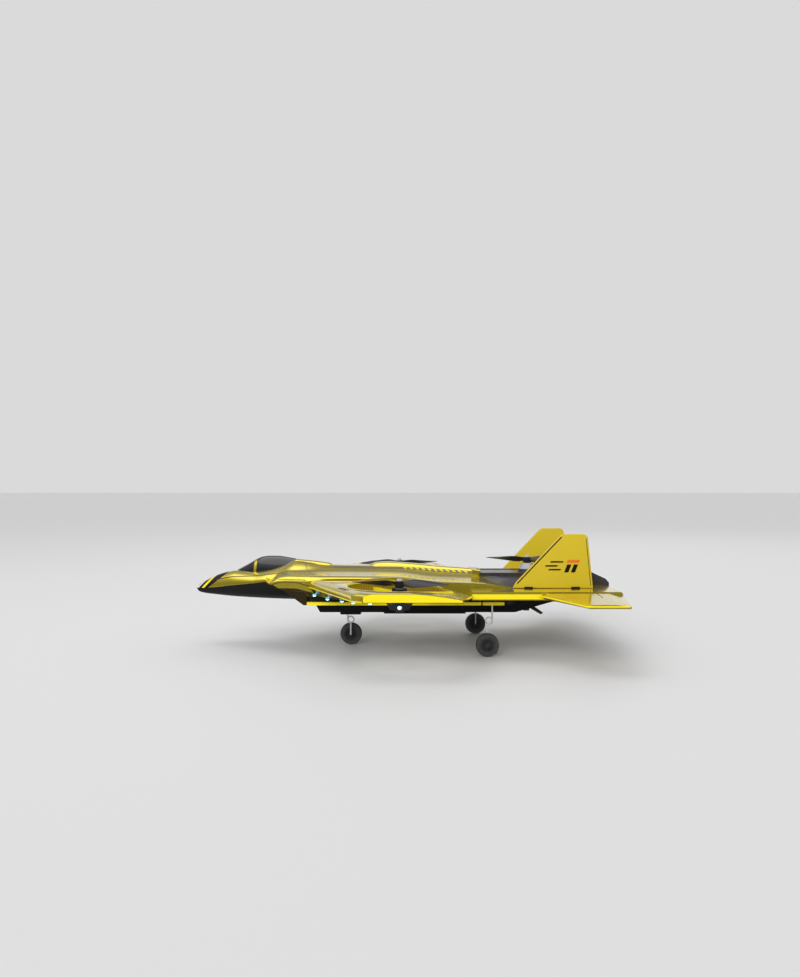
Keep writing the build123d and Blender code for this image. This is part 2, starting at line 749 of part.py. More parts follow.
with BuildPart() as belly_pan:
    with BuildSketch(Plane.XY.offset(tray_bottom)):
        with Locations((0, pan_front)):
            Rectangle(2 * pan_half_top, pan_rear - pan_front, align=(Align.CENTER, Align.MIN))
    with BuildSketch(Plane.XY.offset(pan_bottom)):
        with Locations((0, pan_front + 5)):
            Rectangle(2 * pan_half_bottom, pan_rear - pan_rear_rise - pan_front - 5,
                      align=(Align.CENTER, Align.MIN))
    loft(ruled=True)
    offset(amount=-wall, openings=belly_pan.faces().sort_by(Axis.Z)[-1:])
    # battery opening, switch slot, hatch guides
    with BuildSketch(Plane.XY.offset(pan_bottom)):
        with Locations((0, hatch_middle)):
            Rectangle(hatch_width - 8, hatch_length - 8)
        with Locations((0, switch_y)):
            Rectangle(switch_width + 2 * slide_gap, switch_slot)
    extrude(amount=wall, mode=Mode.SUBTRACT)
    with BuildSketch(Plane.XY.offset(pan_bottom - guide_height)):
        for side in (1, -1):
            with Locations((side * (hatch_width / 2 + slide_gap + 0.8), hatch_middle + hatch_travel / 2)):
                Rectangle(1.6, hatch_length + hatch_travel)
    extrude(amount=guide_height)
    with BuildSketch(Plane.XY.offset(pan_bottom - guide_height)):
        for side in (1, -1):
            with Locations((side * (hatch_width / 2 - 0.2), hatch_middle + hatch_travel / 2)):
                Rectangle(2.0, hatch_length + hatch_travel)
    extrude(amount=guide_lip)
    with BuildSketch(Plane.XY.offset(pan_bottom)):
        with Locations((0, cradle_y)):
            RectangleRounded(cradle_width, cradle_length, 2)
    extrude(amount=-cradle_height)
save("belly_pan", belly_pan)

with BuildPart() as battery_cover:
    with BuildSketch(Plane.XY.offset(pan_bottom - slide_gap - hatch_thickness)):
        with Locations((0, hatch_middle)):
            Rectangle(hatch_width, hatch_length)
    extrude(amount=hatch_thickness)
    with BuildSketch(Plane.XY.offset(pan_bottom - slide_gap - hatch_thickness)):
        with Locations((0, hatch_front + 8)):
            with GridLocations(1, 2.6, 1, 3):
                Rectangle(14, 1.2)
    extrude(amount=-0.8)
save("battery_cover", battery_cover)

battery_length = 48.0
battery_width = 20.0
battery_height = 8.0
with BuildPart() as battery:
    with BuildSketch(Plane.XY.offset(pan_bottom + wall)):
        with Locations((0, hatch_middle)):
            Rectangle(battery_width, battery_length)
    extrude(amount=battery_height)
    with BuildSketch(Plane.XY.offset(pan_bottom + wall)):
        with Locations((0, hatch_middle)):
            Rectangle(hatch_width - 2, battery_length - 6)
    extrude(amount=1.0)
save("battery", battery)

board_thickness = 1.2
board_width = 36.0
board_length = 52.0
board_hole_inset = 3.0
with BuildPart() as circuit_board:
    with BuildSketch(Plane.XY.offset(tray_bottom + wall)):
        Rectangle(board_width, board_length)
        with GridLocations(board_width - 2 * board_hole_inset, board_length - 2 * board_hole_inset, 2, 2):
            Circle(1.2, mode=Mode.SUBTRACT)
    extrude(amount=board_thickness)
    with BuildSketch(Plane.XY.offset(tray_bottom + wall + board_thickness)):
        Rectangle(12, 12)
        with Locations((0, 16), (0, -16)):
            Rectangle(20, 5)
    extrude(amount=2)
save("circuit_board", circuit_board)

with BuildPart() as power_switch:
    with BuildSketch(Plane.XY.offset(pan_bottom - 1.6)):
        with Locations((0, switch_y - switch_travel / 2)):
            Rectangle(switch_width, switch_slot - switch_travel - 2 * slide_gap)
    extrude(amount=1.6 + wall + slide_gap)
    with BuildSketch(Plane.XY.offset(pan_bottom + wall + slide_gap)):
        with Locations((0, switch_y - switch_travel / 2)):
            Rectangle(switch_width + 3, switch_slot)
    extrude(amount=1.4)
save("power_switch", power_switch)

# ---------------------------------------------------------------- landing gear


def make_leg(name, top, knee, axle_start, axle_end, coil_centre, coil_x):
    """Bent steel wire with a spring coil, an axle and the axle's end stop."""
    with BuildPart() as leg:
        with BuildLine():
            path = FilletPolyline(top, knee, axle_start, axle_end, radius=1.3)
        with BuildSketch(Plane(origin=top, x_dir=(1, 0, 0), z_dir=(0, 0, -1))):
            Circle(wire_radius)
        sweep(path=path)
        with BuildSketch(Plane(origin=(coil_x, coil_centre[0] + coil_radius, coil_centre[1]),
                               x_dir=(1, 0, 0), z_dir=(0, 0, 1))):
            Circle(wire_radius)
        revolve(axis=Axis((coil_x, coil_centre[0], coil_centre[1]), (1, 0, 0)))
        inward = 1 if axle_end[0] < axle_start[0] else -1
        with BuildSketch(Plane(origin=axle_end, x_dir=(0, 1, 0), z_dir=(inward, 0, 0))):
            Circle(2.1 * wire_radius)
        extrude(amount=0.9)
    save(name + "_gear_leg", leg)
    return leg


stop_gap = 0.3
main_axle_end = wheel_x + tyre_width / 2 + stop_gap + 0.9
plate_top = tray_bottom + rail_height
legs = {}
for side, name in ((1, "left"), (-1, "right")):
    legs[name] = make_leg(
        name, (side * leg_x, leg_y, plate_top), (side * leg_x, leg_y, 22.0),
        (side * leg_x, main_wheel_y, wheel_radius), (side * main_axle_end, main_wheel_y, wheel_radius),
        (leg_y - coil_radius, 30.0), side * (leg_x + 0.8 * wire_radius),
    )
    with BuildPart() as plate:
        with BuildSketch(Plane.XY.offset(tray_bottom)):
            with Locations((side * (tray_half_width + rail_width / 2), plate_front)):
                Rectangle(rail_width, plate_rear - plate_front, align=(Align.CENTER, Align.MIN))
        extrude(amount=rail_height)
        fillet(plate.edges().filter_by(Axis.Z), 1.2)
        add(legs[name].part, mode=Mode.SUBTRACT)
    save(name + "_gear_plate", plate)

block_bottom = 30.3
nose_leg = make_leg(
    "nose", (nose_leg_x, nose_leg_y, pan_bottom), (nose_leg_x, nose_leg_y, 20.0),
    (nose_leg_x, nose_wheel_y, wheel_radius),
    (-tyre_width / 2 - stop_gap - 0.9, nose_wheel_y, wheel_radius),
    (nose_leg_y - coil_radius, 25.0), nose_leg_x + 0.8 * wire_radius,
)
with BuildPart() as nose_gear_block:
    with BuildSketch(Plane.XY.offset(pan_bottom)):
        with Locations((nose_leg_x - 2, nose_leg_y)):
            Rectangle(16, 14)
    with BuildSketch(Plane.XY.offset(block_bottom)):
        with Locations((nose_leg_x - 1, nose_leg_y)):
            Rectangle(10, 9)
    loft(ruled=True)
    add(nose_leg.part, mode=Mode.SUBTRACT)
save("nose_gear_block", nose_gear_block)


def make_wheel(name, x, y):
    """Spoked hub and a foam tyre with ring grooves in its walls."""
    centre = Axis((0, y, wheel_radius), (1, 0, 0))
    bore = wire_radius + running_gap
    with BuildPart() as hub:
        with BuildSketch(across(y)):
            with BuildLine():
                half = tyre_width / 2
                Polyline(
                    (x - half, wheel_radius + bore), (x + half, wheel_radius + bore),
                    (x + half, wheel_radius + 2.2), (x + 1, wheel_radius + 2.2), (x + 1, wheel_radius + 4.9),
                    (x + 3.4, wheel_radius + 4.9), (x + 3.4, wheel_radius + rim_radius),
                    (x - 3.4, wheel_radius + rim_radius), (x - 3.4, wheel_radius + 4.9),
                    (x - 1, wheel_radius + 4.9), (x - 1, wheel_radius + 2.2), (x - half, wheel_radius + 2.2),
                    close=True,
                )
            make_face()
        revolve(axis=centre)
        with BuildSketch(along(x - 1)):
            with Locations((y, wheel_radius)):
                with PolarLocations(3.55, 6):
                    Circle(0.85)
        extrude(amount=2, mode=Mode.SUBTRACT)
    save(name + "_wheel_hub", hub)

    with BuildPart() as tyre:
        with BuildSketch(across(y)):
            with BuildLine():
                half = tyre_width / 2
                inner, outer = wheel_radius + rim_radius, 2 * wheel_radius
                Polyline(
                    (x - half, outer - 1.8), (x - half, inner + 2), (x - half + groove, inner + 1.5),
                    (x - half, inner + 1), (x - half + 0.6, inner), (x + half - 0.6, inner),
                    (x + half, inner + 1), (x + half - groove, inner + 1.5), (x + half, inner + 2),
                    (x + half, outer - 1.8),
                )
                ThreePointArc((x + half, outer - 1.8), (x, outer), (x - half, outer - 1.8))
            make_face()
        revolve(axis=centre)
    save(name + "_tyre", tyre)


make_wheel("left", wheel_x, main_wheel_y)
make_wheel("right", -wheel_x, main_wheel_y)
make_wheel("nose", 0, nose_wheel_y)

# ---------------------------------------------------------------- tail skid
skid_y = 117.0
pan_rise_start = pan_rear - pan_rear_rise
pan_slope = (tray_bottom - pan_bottom) / pan_rear_rise
skid_top = pan_bottom + (skid_y - pan_rise_start) * pan_slope
skid_depth = 8.0
skid_reach = 19.0
with BuildPart() as tail_skid:
    with BuildSketch(along(-skid_depth / 2)):
        with BuildLine():
            Polyline(
                (skid_y, skid_top), (skid_y, skid_top - 5), (skid_y + 5, skid_top - 5),
                (skid_y + 6, skid_top - 2.6), (skid_y + skid_reach - 2.5, skid_top - 8.7),
                (skid_y + skid_reach, skid_top - 7.2), (skid_y + 8, skid_top + 0.6),
                (skid_y + 8, skid_top + 8 * pan_slope), close=True,
            )
        make_face()
    extrude(amount=skid_depth)
save("tail_skid", tail_skid)
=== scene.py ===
"""Looks of a radio-controlled jet plane with three lifting rotors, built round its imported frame.

Lengths in the classes are millimetres in the frame's own axes: the nose points along -Y, the
left wing along +X and up is +Z. Every surface is a grid of points worked out with numpy.
"""
from __future__ import annotations

import json
import logging
import math
from dataclasses import dataclass, field
from enum import Enum
from typing import Callable, Sequence

import bpy
import numpy as np
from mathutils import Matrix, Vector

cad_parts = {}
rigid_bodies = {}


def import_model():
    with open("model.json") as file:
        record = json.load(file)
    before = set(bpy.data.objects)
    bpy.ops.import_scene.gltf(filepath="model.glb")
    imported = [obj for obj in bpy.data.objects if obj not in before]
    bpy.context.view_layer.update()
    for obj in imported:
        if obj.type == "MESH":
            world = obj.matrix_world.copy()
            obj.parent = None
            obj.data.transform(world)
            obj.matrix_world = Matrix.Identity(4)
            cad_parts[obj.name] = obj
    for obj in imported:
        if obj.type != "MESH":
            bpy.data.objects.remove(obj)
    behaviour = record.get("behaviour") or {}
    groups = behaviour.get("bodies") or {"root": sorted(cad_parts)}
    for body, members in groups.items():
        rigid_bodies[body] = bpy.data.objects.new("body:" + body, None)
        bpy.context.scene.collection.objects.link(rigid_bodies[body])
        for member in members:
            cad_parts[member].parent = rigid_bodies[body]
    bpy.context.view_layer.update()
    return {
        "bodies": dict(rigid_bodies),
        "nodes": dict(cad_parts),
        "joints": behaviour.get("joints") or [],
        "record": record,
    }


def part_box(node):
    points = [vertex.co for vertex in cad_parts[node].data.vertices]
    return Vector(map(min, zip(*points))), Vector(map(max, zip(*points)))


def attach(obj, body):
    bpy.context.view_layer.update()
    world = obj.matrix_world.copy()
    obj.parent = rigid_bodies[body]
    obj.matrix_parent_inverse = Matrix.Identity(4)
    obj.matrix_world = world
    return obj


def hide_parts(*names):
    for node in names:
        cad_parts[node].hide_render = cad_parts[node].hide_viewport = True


MM = 0.001
AIRFRAME = "airframe"
log = logging.getLogger("jet_plane")

Array = np.ndarray
HeightLine = Callable[[Array, Array], Array]
Colour = tuple[float, float, float, float]
# Paler convex edges by pointiness: partly wear, partly a painted highlight where the edges catch the light.
WEAR_AND_HIGHLIGHT_BEND = (0.53, 0.62)
WEAR_AND_HIGHLIGHT_LIGHTER = 0.9
BRUSH_STRETCH = (1.0, 0.04, 1.0)
RELIEF_DEPTH = 0.0003
TINY = 1e-9


class Side(Enum):
    """The two mirrored sides of the plane; the value is the sign of X."""

    LEFT = 1
    RIGHT = -1

    @property
    def word(self) -> str:
        """Name of the side as the frame's nodes spell it."""
        return self.name.lower()

    def span(self, one: float, other: float) -> list[float]:
        """Two distances from the middle as widths on this side, the lower first."""
        return sorted((self.value * one, self.value * other))

    def mirrored(self, path: Sequence[tuple[float, float]]) -> list[tuple[float, float]]:
        """A left-hand path of (x, y) points, on this side."""
        return [(self.value * x, y) for x, y in path]


class Grain(Enum):
    """What the fine relief of a finish looks like."""

    MOULDED = "moulded"
    FLAKE = "flake"
    BRUSHED = "brushed"
    FOAM = "foam"
    TRACKS = "tracks"


# ------------------------------------------------------------------------------ node trees


def fill(node: bpy.types.Node, **inputs: object) -> None:
    """Set a node's inputs by name, with an underscore for a blank."""
    for name, value in inputs.items():
        node.inputs[name.replace("_", " ")].default_value = value


@dataclass(frozen=True)
class Graph:
    """A node tree while it is wired."""

    tree: bpy.types.NodeTree

    def node(self, kind: str, **inputs: object) -> bpy.types.Node:
        """Add a node and fill() its inputs."""
        made = self.tree.nodes.new(kind)
        fill(made, **inputs)
        return made

    def link(self, source: bpy.types.NodeSocket, target: bpy.types.Node, name: str) -> None:
        """Link an output to the input of that name."""
        self.tree.links.new(source, target.inputs[name])

    def mapped(self, source: bpy.types.NodeSocket, low: float, high: float, start: float,
               end: float) -> bpy.types.NodeSocket:
        """Spread an output's range over another one.

        Args:
            source: the output.
            low: its value that becomes start.
            high: its value that becomes end.
            start: the first value given.
            end: the last value given.

        Returns:
            The new output, held between start and end.
        """
        made = self.node("ShaderNodeMapRange", From_Min=low, From_Max=high, To_Min=start, To_Max=end)
        self.link(source, made, "Value")
        return made.outputs["Result"]

    def mixed(self, factor: bpy.types.NodeSocket, low: bpy.types.NodeSocket | Colour,
              high: Colour) -> bpy.types.NodeSocket:
        """Mix two colours.

        Args:
            factor: share of the second colour.
            low: the first colour, or an output that gives it.
            high: the second colour.

        Returns:
            The mixed colour's output.
        """
        made = self.node("ShaderNodeMix")
        made.data_type = "RGBA"
        fill(made, B=high)
        self.link(factor, made, "Factor")
        if isinstance(low, bpy.types.NodeSocket):
            self.link(low, made, "A")
        else:
            fill(made, A=low)
        return made.outputs["Result"]

    def combined(self, kind: str, one: bpy.types.NodeSocket,
                 other: bpy.types.NodeSocket) -> bpy.types.NodeSocket:
        """Join two outputs by a kind of sum, such as "ADD" or "MULTIPLY"."""
        made = self.node("ShaderNodeMath")
        made.operation = kind
        self.tree.links.new(one, made.inputs[0])
        self.tree.links.new(other, made.inputs[1])
        return made.outputs["Value"]

    def ramp(self, source: bpy.types.NodeSocket,
             stops: Sequence[tuple[float, float]]) -> bpy.types.NodeSocket:
        """Make a smooth grey ramp.

        Args:
            source: an output that runs from -1 to 1.
            stops: places on it with their brightness.

        Returns:
            The ramp's colour output.
        """
        made = self.node("ShaderNodeValToRGB")
        elements = made.color_ramp.elements
        made.color_ramp.interpolation = "EASE"
        while len(elements) < len(stops):
            elements.new(0.5)
        for element, (place, bright) in zip(elements, stops):
            element.position = (place + 1) / 2
            element.color = (bright, bright, bright, 1)
        self.link(self.mapped(source, -1.0, 1.0, 0.0, 1.0), made, "Fac")
        return made.outputs["Color"]


# ------------------------------------------------------------------------------ finishes


@dataclass(frozen=True)
class Finish:
    """One surface finish, made as a node material.

    The colour drifts between a darker and a lighter tone over a slow noise, the roughness
    follows a second noise, and the relief is the grain's own pattern.
    """

    name: str
    slot: str
    colour: tuple[float, float, float]
    roughness: float = 0.4
    metallic: float = 0.0
    coat: float = 0.0
    coat_roughness: float = 0.04
    drift: float = 0.06
    drift_scale: float = 40.0
    grain: Grain = Grain.MOULDED
    grain_scale: float = 1800.0
    relief: float = 0.06
    wear_and_highlight: float = 0.12
    glow: float = 0.0

    def tone(self, share: float) -> Colour:
        """The colour made lighter (share above 0) or darker (below 0)."""
        red, green, blue = (min(1.0, max(0.0, channel * (1 + share))) for channel in self.colour)
        return red, green, blue, 1.0

    def material(self) -> bpy.types.Material:
        """Make the material, or return it if it is there already.

        Returns:
            The node material of this finish.
        """
        found = bpy.data.materials.get(self.name)
        if found:
            return found
        made = bpy.data.materials.new(self.name)
        made.use_nodes = True
        graph = Graph(made.node_tree)
        shader = made.node_tree.nodes["Principled BSDF"]
        place = graph.node("ShaderNodeTexCoord").outputs["Object"]
        self._colour(graph, shader, place)
        self._relief(graph, shader, place)
        fill(shader, Metallic=self.metallic, Coat_Weight=self.coat, Coat_Roughness=self.coat_roughness)
        if self.glow:
            fill(shader, Emission_Color=self.tone(0), Emission_Strength=self.glow)
        return made

    def _colour(self, graph: Graph, shader: bpy.types.Node, place: bpy.types.NodeSocket) -> None:
        """Link base colour and roughness: slow drift, then paler edges by pointiness, partly wear and partly
        a painted highlight on convex edges.

        Args:
            graph: the material's tree.
            shader: its surface shader.
            place: the coordinates that the patterns follow.
        """
        slow = graph.node("ShaderNodeTexNoise", Scale=self.drift_scale, Detail=4.0)
        graph.link(place, slow, "Vector")
        tones = graph.mixed(slow.outputs["Fac"], self.tone(-self.drift), self.tone(self.drift))
        bend = graph.node("ShaderNodeNewGeometry").outputs["Pointiness"]
        # paler convex edges: partly wear, partly painted highlight
        worn_and_highlit = graph.mixed(graph.mapped(bend, *WEAR_AND_HIGHLIGHT_BEND, 0.0, self.wear_and_highlight), tones, self.tone(WEAR_AND_HIGHLIGHT_LIGHTER))
        graph.link(worn_and_highlit, shader, "Base Color")
        smear = graph.node("ShaderNodeTexNoise", Scale=self.drift_scale * 3)
        graph.link(place, smear, "Vector")
        smooth, rough = self.roughness * 0.8, min(1.0, self.roughness * 1.25)
        graph.link(graph.mapped(smear.outputs["Fac"], 0.0, 1.0, smooth, rough), shader, "Roughness")

    def _relief(self, graph: Graph, shader: bpy.types.Node, place: bpy.types.NodeSocket) -> None:
        """Link the fine relief of the grain to the shader's normal.

        Args:
            graph: the material's tree.
            shader: its surface shader.
            place: the coordinates that the pattern follows.
        """
        if self.grain is Grain.FOAM:
            pattern, output = graph.node("ShaderNodeTexVoronoi"), "Distance"
        elif self.grain is Grain.TRACKS:
            pattern, output = graph.node("ShaderNodeTexBrick"), "Fac"
        else:
            pattern, output = graph.node("ShaderNodeTexNoise", Detail=6.0), "Fac"
        fill(pattern, Scale=self.grain_scale)
        if self.grain is Grain.BRUSHED:
            stretch = graph.node("ShaderNodeMapping", Scale=BRUSH_STRETCH)
            graph.link(place, stretch, "Vector")
            place = stretch.outputs["Vector"]
        graph.link(place, pattern, "Vector")
        bump = graph.node("ShaderNodeBump", Strength=self.relief, Distance=RELIEF_DEPTH)
        graph.link(pattern.outputs[output], bump, "Height")
        graph.link(bump.outputs["Normal"], shader, "Normal")


GOLD = Finish("gold_lacquer", "shell_yellow", (0.95, 0.76, 0.06), 0.19, 0.85, 0.8, 0.03, 0.04, 25.0,
              Grain.FLAKE, 1500.0, 0.004, 0.06)
# Darker copy of the gold: painted shade inside the rotor ducts.
SHADED_DUCT_GOLD = Finish("duct_gold_painted_shade", "edge_yellow", (0.42, 0.29, 0.02), 0.36, 0.6, 0.4, 0.1, 0.1)
FIN_YELLOW = Finish("satin_yellow", "fin_yellow", (0.68, 0.51, 0.018), 0.42, 0.1, 0.25, 0.3, 0.05, 18.0)
# Yellow of the nose collar, the louvre bars and the deck strip, and of the painted highlights along the
# wing's tip and leading edge and the stabiliser's edges.
YELLOW_TRIM_AND_HIGHLIGHT = Finish("clear_yellow_trim_and_highlight", "edge_yellow", (0.97, 0.78, 0.0), 0.3, 0.0, 0.5, 0.08, 0.04)
SILVER = Finish("bright_silver", "silver", (0.74, 0.74, 0.75), 0.14, 1.0, 0.4, 0.03, 0.03)
BLACK = Finish("satin_black", "black", (0.008, 0.008, 0.009), 0.36, 0.0, 0.2, 0.15, 0.2, 60.0,
               Grain.MOULDED, 2200.0, 0.10, 0.05)
# Silver of the nose tip, and of the painted highlights along the nose's and the windshield's ridges.
SILVER_TIP_AND_HIGHLIGHT = Finish("bright_edge", "silver", (0.80, 0.80, 0.78), 0.25, 0.3, 0.5, 0.1, 0.03)
# Painted shade: dark brown for the side under the shoulders' beaks and for the intakes, where shadow falls.
INTAKE_PAINTED_SHADE = Finish("intake_painted_shade", "black", (0.050, 0.034, 0.012), 0.3, 0.6, 0.4, 0.1, 0.2)
GASKET = Finish("gasket_black", "black", (0.006, 0.006, 0.006), 0.6)
DARK_GREY = Finish("dark_grey_plastic", "dark_grey", (0.030, 0.028, 0.030), 0.42, 0.0, 0.2, 0.2, 0.12)
COVER_GREY = Finish("cover_grey", "dark_grey", (0.045, 0.042, 0.046), 0.34, 0.1, 0.4, 0.15, 0.1)
LINE_GREY = Finish("seam_shadow", "dark_grey", (0.07, 0.05, 0.012), 0.5, 0.1, 0.2)
# Grey of a painted reflection: the band along the spine's flank and a line along the wing's leading edge.
REFLECTION_GREY = Finish("band_painted_reflection_grey", "light_grey", (0.36, 0.34, 0.33), 0.24, 0.7, 0.8, 0.05, 0.05)
LIGHT_GREY = Finish("motor_grey", "light_grey", (0.42, 0.42, 0.45), 0.35, 0.0, 0.3)
SMOKE = Finish("smoked_screen", "smoke_glass", (0.012, 0.012, 0.014), 0.08, 0.0, 1.0, 0.03, 0.3, 30.0,
               Grain.MOULDED, 400.0, 0.01, 0.0)
STEEL = Finish("bright_wire", "steel_wire", (0.88, 0.88, 0.88), 0.25, 0.35, 0.0, 0.1, 0.06, 200.0,
               Grain.BRUSHED, 9000.0, 0.12)
MOTOR = Finish("motor_can", "motor_metal", (0.09, 0.09, 0.10), 0.35, 1.0, 0.0, 0.1, 0.08, 150.0,
               Grain.BRUSHED, 7000.0, 0.2)
ROTOR = Finish("rotor_black", "rotor_plastic", (0.011, 0.010, 0.012), 0.34, 0.0, 0.15, 0.15, 0.2)
FOAM = Finish("tyre_foam", "foam_tyre", (0.064, 0.066, 0.066), 0.85, 0.0, 0.0, 0.5, 0.25, 300.0,
              Grain.FOAM, 1600.0, 0.5, 0.02)
HUB = Finish("hub_plastic", "hub_grey", (0.036, 0.037, 0.037), 0.6, 0.0, 0.0, 0.5, 0.15)
LAMP = Finish("lamp_glow", "lamp", (0.40, 0.86, 1.0), 0.15, 0.0, 0.6, 0.05, 0.02, 100.0,
              Grain.MOULDED, 900.0, 0.02, 0.0, 2.4)
WRAP = Finish("shrink_wrap", "battery_wrap", (0.03, 0.07, 0.18), 0.2, 0.0, 0.6, 0.05, 0.1, 90.0)
BOARD = Finish("board_resin", "board_green", (0.015, 0.13, 0.05), 0.3, 0.0, 0.5, 0.1, 0.25, 400.0,
               Grain.TRACKS, 500.0, 0.4)
STRIPE_BLACK = Finish("stripe_black", "black", (0.006, 0.006, 0.006), 0.4, 0.0, 0.2)
STRIPE_ORANGE = Finish("stripe_orange", "edge_yellow", (0.80, 0.16, 0.006), 0.4, 0.0, 0.2)

# ------------------------------------------------------------------------------ mesh helpers


@dataclass(frozen=True)
class BodyLine:
    """A smooth line through (length, value) points: a monotone cubic, so it never overshoots."""

    points: tuple[tuple[float, float], ...]

    def at(self, length: Array) -> Array:
        """Value of the line.

        Args:
            length: where along the fuselage, any shape.

        Returns:
            The values, in the same shape; past the ends the end values hold.
        """
        x, v = np.array(self.points, float).T
        step, rise = np.diff(x), np.diff(v)
        grade = rise / step
        before, after = grade[:-1], grade[1:]
        turning = before * after <= 0
        mean = np.where(turning, 0.0, 2 * before * after / np.where(turning, 1.0, before + after))
        slope = np.concatenate([grade[:1], mean, grade[-1:]])
        place = np.clip(length, x[0], x[-1])
        cell = np.clip(np.searchsorted(x, place, side="right") - 1, 0, len(x) - 2)
        t = (place - x[cell]) / step[cell]
        return (
            v[cell] * (1 + 2 * t) * (1 - t) ** 2 + v[cell + 1] * t * t * (3 - 2 * t)
            + step[cell] * (slope[cell] * t * (1 - t) ** 2 - slope[cell + 1] * t * t * (1 - t))
        )


def ease(value: Array, low: float, high: float) -> Array:
    """Smooth step from 0 at low to 1 at high: t^2 (3 - 2 t)."""
    t = np.clip((value - low) / (high - low), 0, 1)
    return t * t * (3 - 2 * t)


def soft_max(a: Array, b: Array, width: float) -> Array:
    """The higher of two heights with a rounded valley: (a + b + sqrt((a - b)^2 + width^2)) / 2."""
    return (a + b + np.sqrt((a - b) ** 2 + width * width)) / 2


def piece(name: str, vertices: Array, faces: Sequence[Sequence[int]], finish: Finish,
          body: str = AIRFRAME, stands_for: Sequence[str] = (), crease: float = 35.0) -> bpy.types.Object:
    """Make one finished piece from points in millimetres.

    Args:
        name: the piece's name.
        vertices: points, any leading shape, last axis X, Y, Z.
        faces: vertex numbers of each face.
        finish: its surface finish.
        body: the frame's body that it rides on.
        stands_for: the frame's nodes that it replaces.
        crease: angle in degrees above which an edge stays sharp.

    Returns:
        The new object, with its faces pointing outwards.
    """
    points = np.asarray(vertices, float).reshape(-1, 3)
    corners = np.array([(f[0], f[k], f[k + 1]) for f in faces for k in range(1, len(f) - 1)])
    a, b, c = (points[corners[:, k]] for k in range(3))
    if np.einsum("ij,ij->", a, np.cross(b, c)) < 0:
        faces = [tuple(reversed(f)) for f in faces]
    mesh = bpy.data.meshes.new(name)
    mesh.from_pydata((points * MM).tolist(), [], [list(map(int, f)) for f in faces])
    mesh.shade_smooth()
    mesh.set_sharp_from_angle(angle=math.radians(crease))
    mesh.materials.append(finish.material())
    made = bpy.data.objects.new(name, mesh)
    bpy.context.scene.collection.objects.link(made)
    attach(made, body)
    if stands_for:
        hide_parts(*stands_for)
    log.info("%s: %d faces on %s", name, len(faces), body)
    return made


def grid_faces(rows: int, columns: int, wrap_rows: bool, wrap_columns: bool) -> list[tuple[int, ...]]:
    """Quads of a grid whose rows or columns may close on themselves.

    Args:
        rows: points down the grid.
        columns: points across it.
        wrap_rows: True if the last row meets the first.
        wrap_columns: True if the last column meets the first.

    Returns:
        Four vertex numbers for each quad.
    """
    i = np.arange(rows if wrap_rows else rows - 1)[:, None]
    j = np.arange(columns if wrap_columns else columns - 1)[None, :]
    a = i * columns + j
    b = i * columns + (j + 1) % columns
    c = ((i + 1) % rows) * columns + (j + 1) % columns
    d = ((i + 1) % rows) * columns + j
    return [tuple(f) for f in np.stack([a, b, c, d], -1).reshape(-1, 4).tolist()]


def loft(name: str, sections: Array, finish: Finish, **options: object) -> bpy.types.Object:
    """A closed body from sections: rows of closed loops, with a flat cap on each end.

    Args:
        name: the piece's name.
        sections: points of shape (rows, loop, 3).
        finish: its surface finish.
        options: what piece() takes.

    Returns:
        The new object.
    """
    rows, loop = sections.shape[:2]
    faces = grid_faces(rows, loop, False, True)
    faces += [tuple(range(loop)[::-1]), tuple(range((rows - 1) * loop, rows * loop))]
    return piece(name, sections, faces, finish, **options)


def ring(name: str, sections: Array, finish: Finish, **options: object) -> bpy.types.Object:
    """A closed ring of closed loops, such as a tyre or a wing round its duct.

    Args:
        name: the piece's name.
        sections: points of shape (rows, loop, 3).
        finish: its surface finish.
        options: what piece() takes.

    Returns:
        The new object.
    """
    rows, loop = sections.shape[:2]
    return piece(name, sections, grid_faces(rows, loop, True, True), finish, **options)


def turned(name: str, profile: Sequence[tuple[float, float]], centre: Sequence[float], axis: str,
           finish: Finish, steps: int = 64, **options: object) -> bpy.types.Object:
    """A turned piece: a closed profile of (radius, height) carried round an axis.

    Args:
        name: the piece's name.
        profile: closed outline; a point at radius 0 is held just off the axis.
        centre: where height 0 lies.
        axis: "x" or "z".
        finish: its surface finish.
        steps: copies of the profile round the axis.
        options: what piece() takes.

    Returns:
        The new object.
    """
    radius, height = np.array(profile, float).T
    radius = np.maximum(radius, 0.004)
    angle = np.linspace(0, 2 * math.pi, steps, endpoint=False)[:, None]
    across, up = radius * np.cos(angle), radius * np.sin(angle)
    tall = np.broadcast_to(height, across.shape)
    points = np.stack([tall, across, up] if axis == "x" else [across, up, tall], -1) + np.array(centre)
    return ring(name, points, finish, **options)


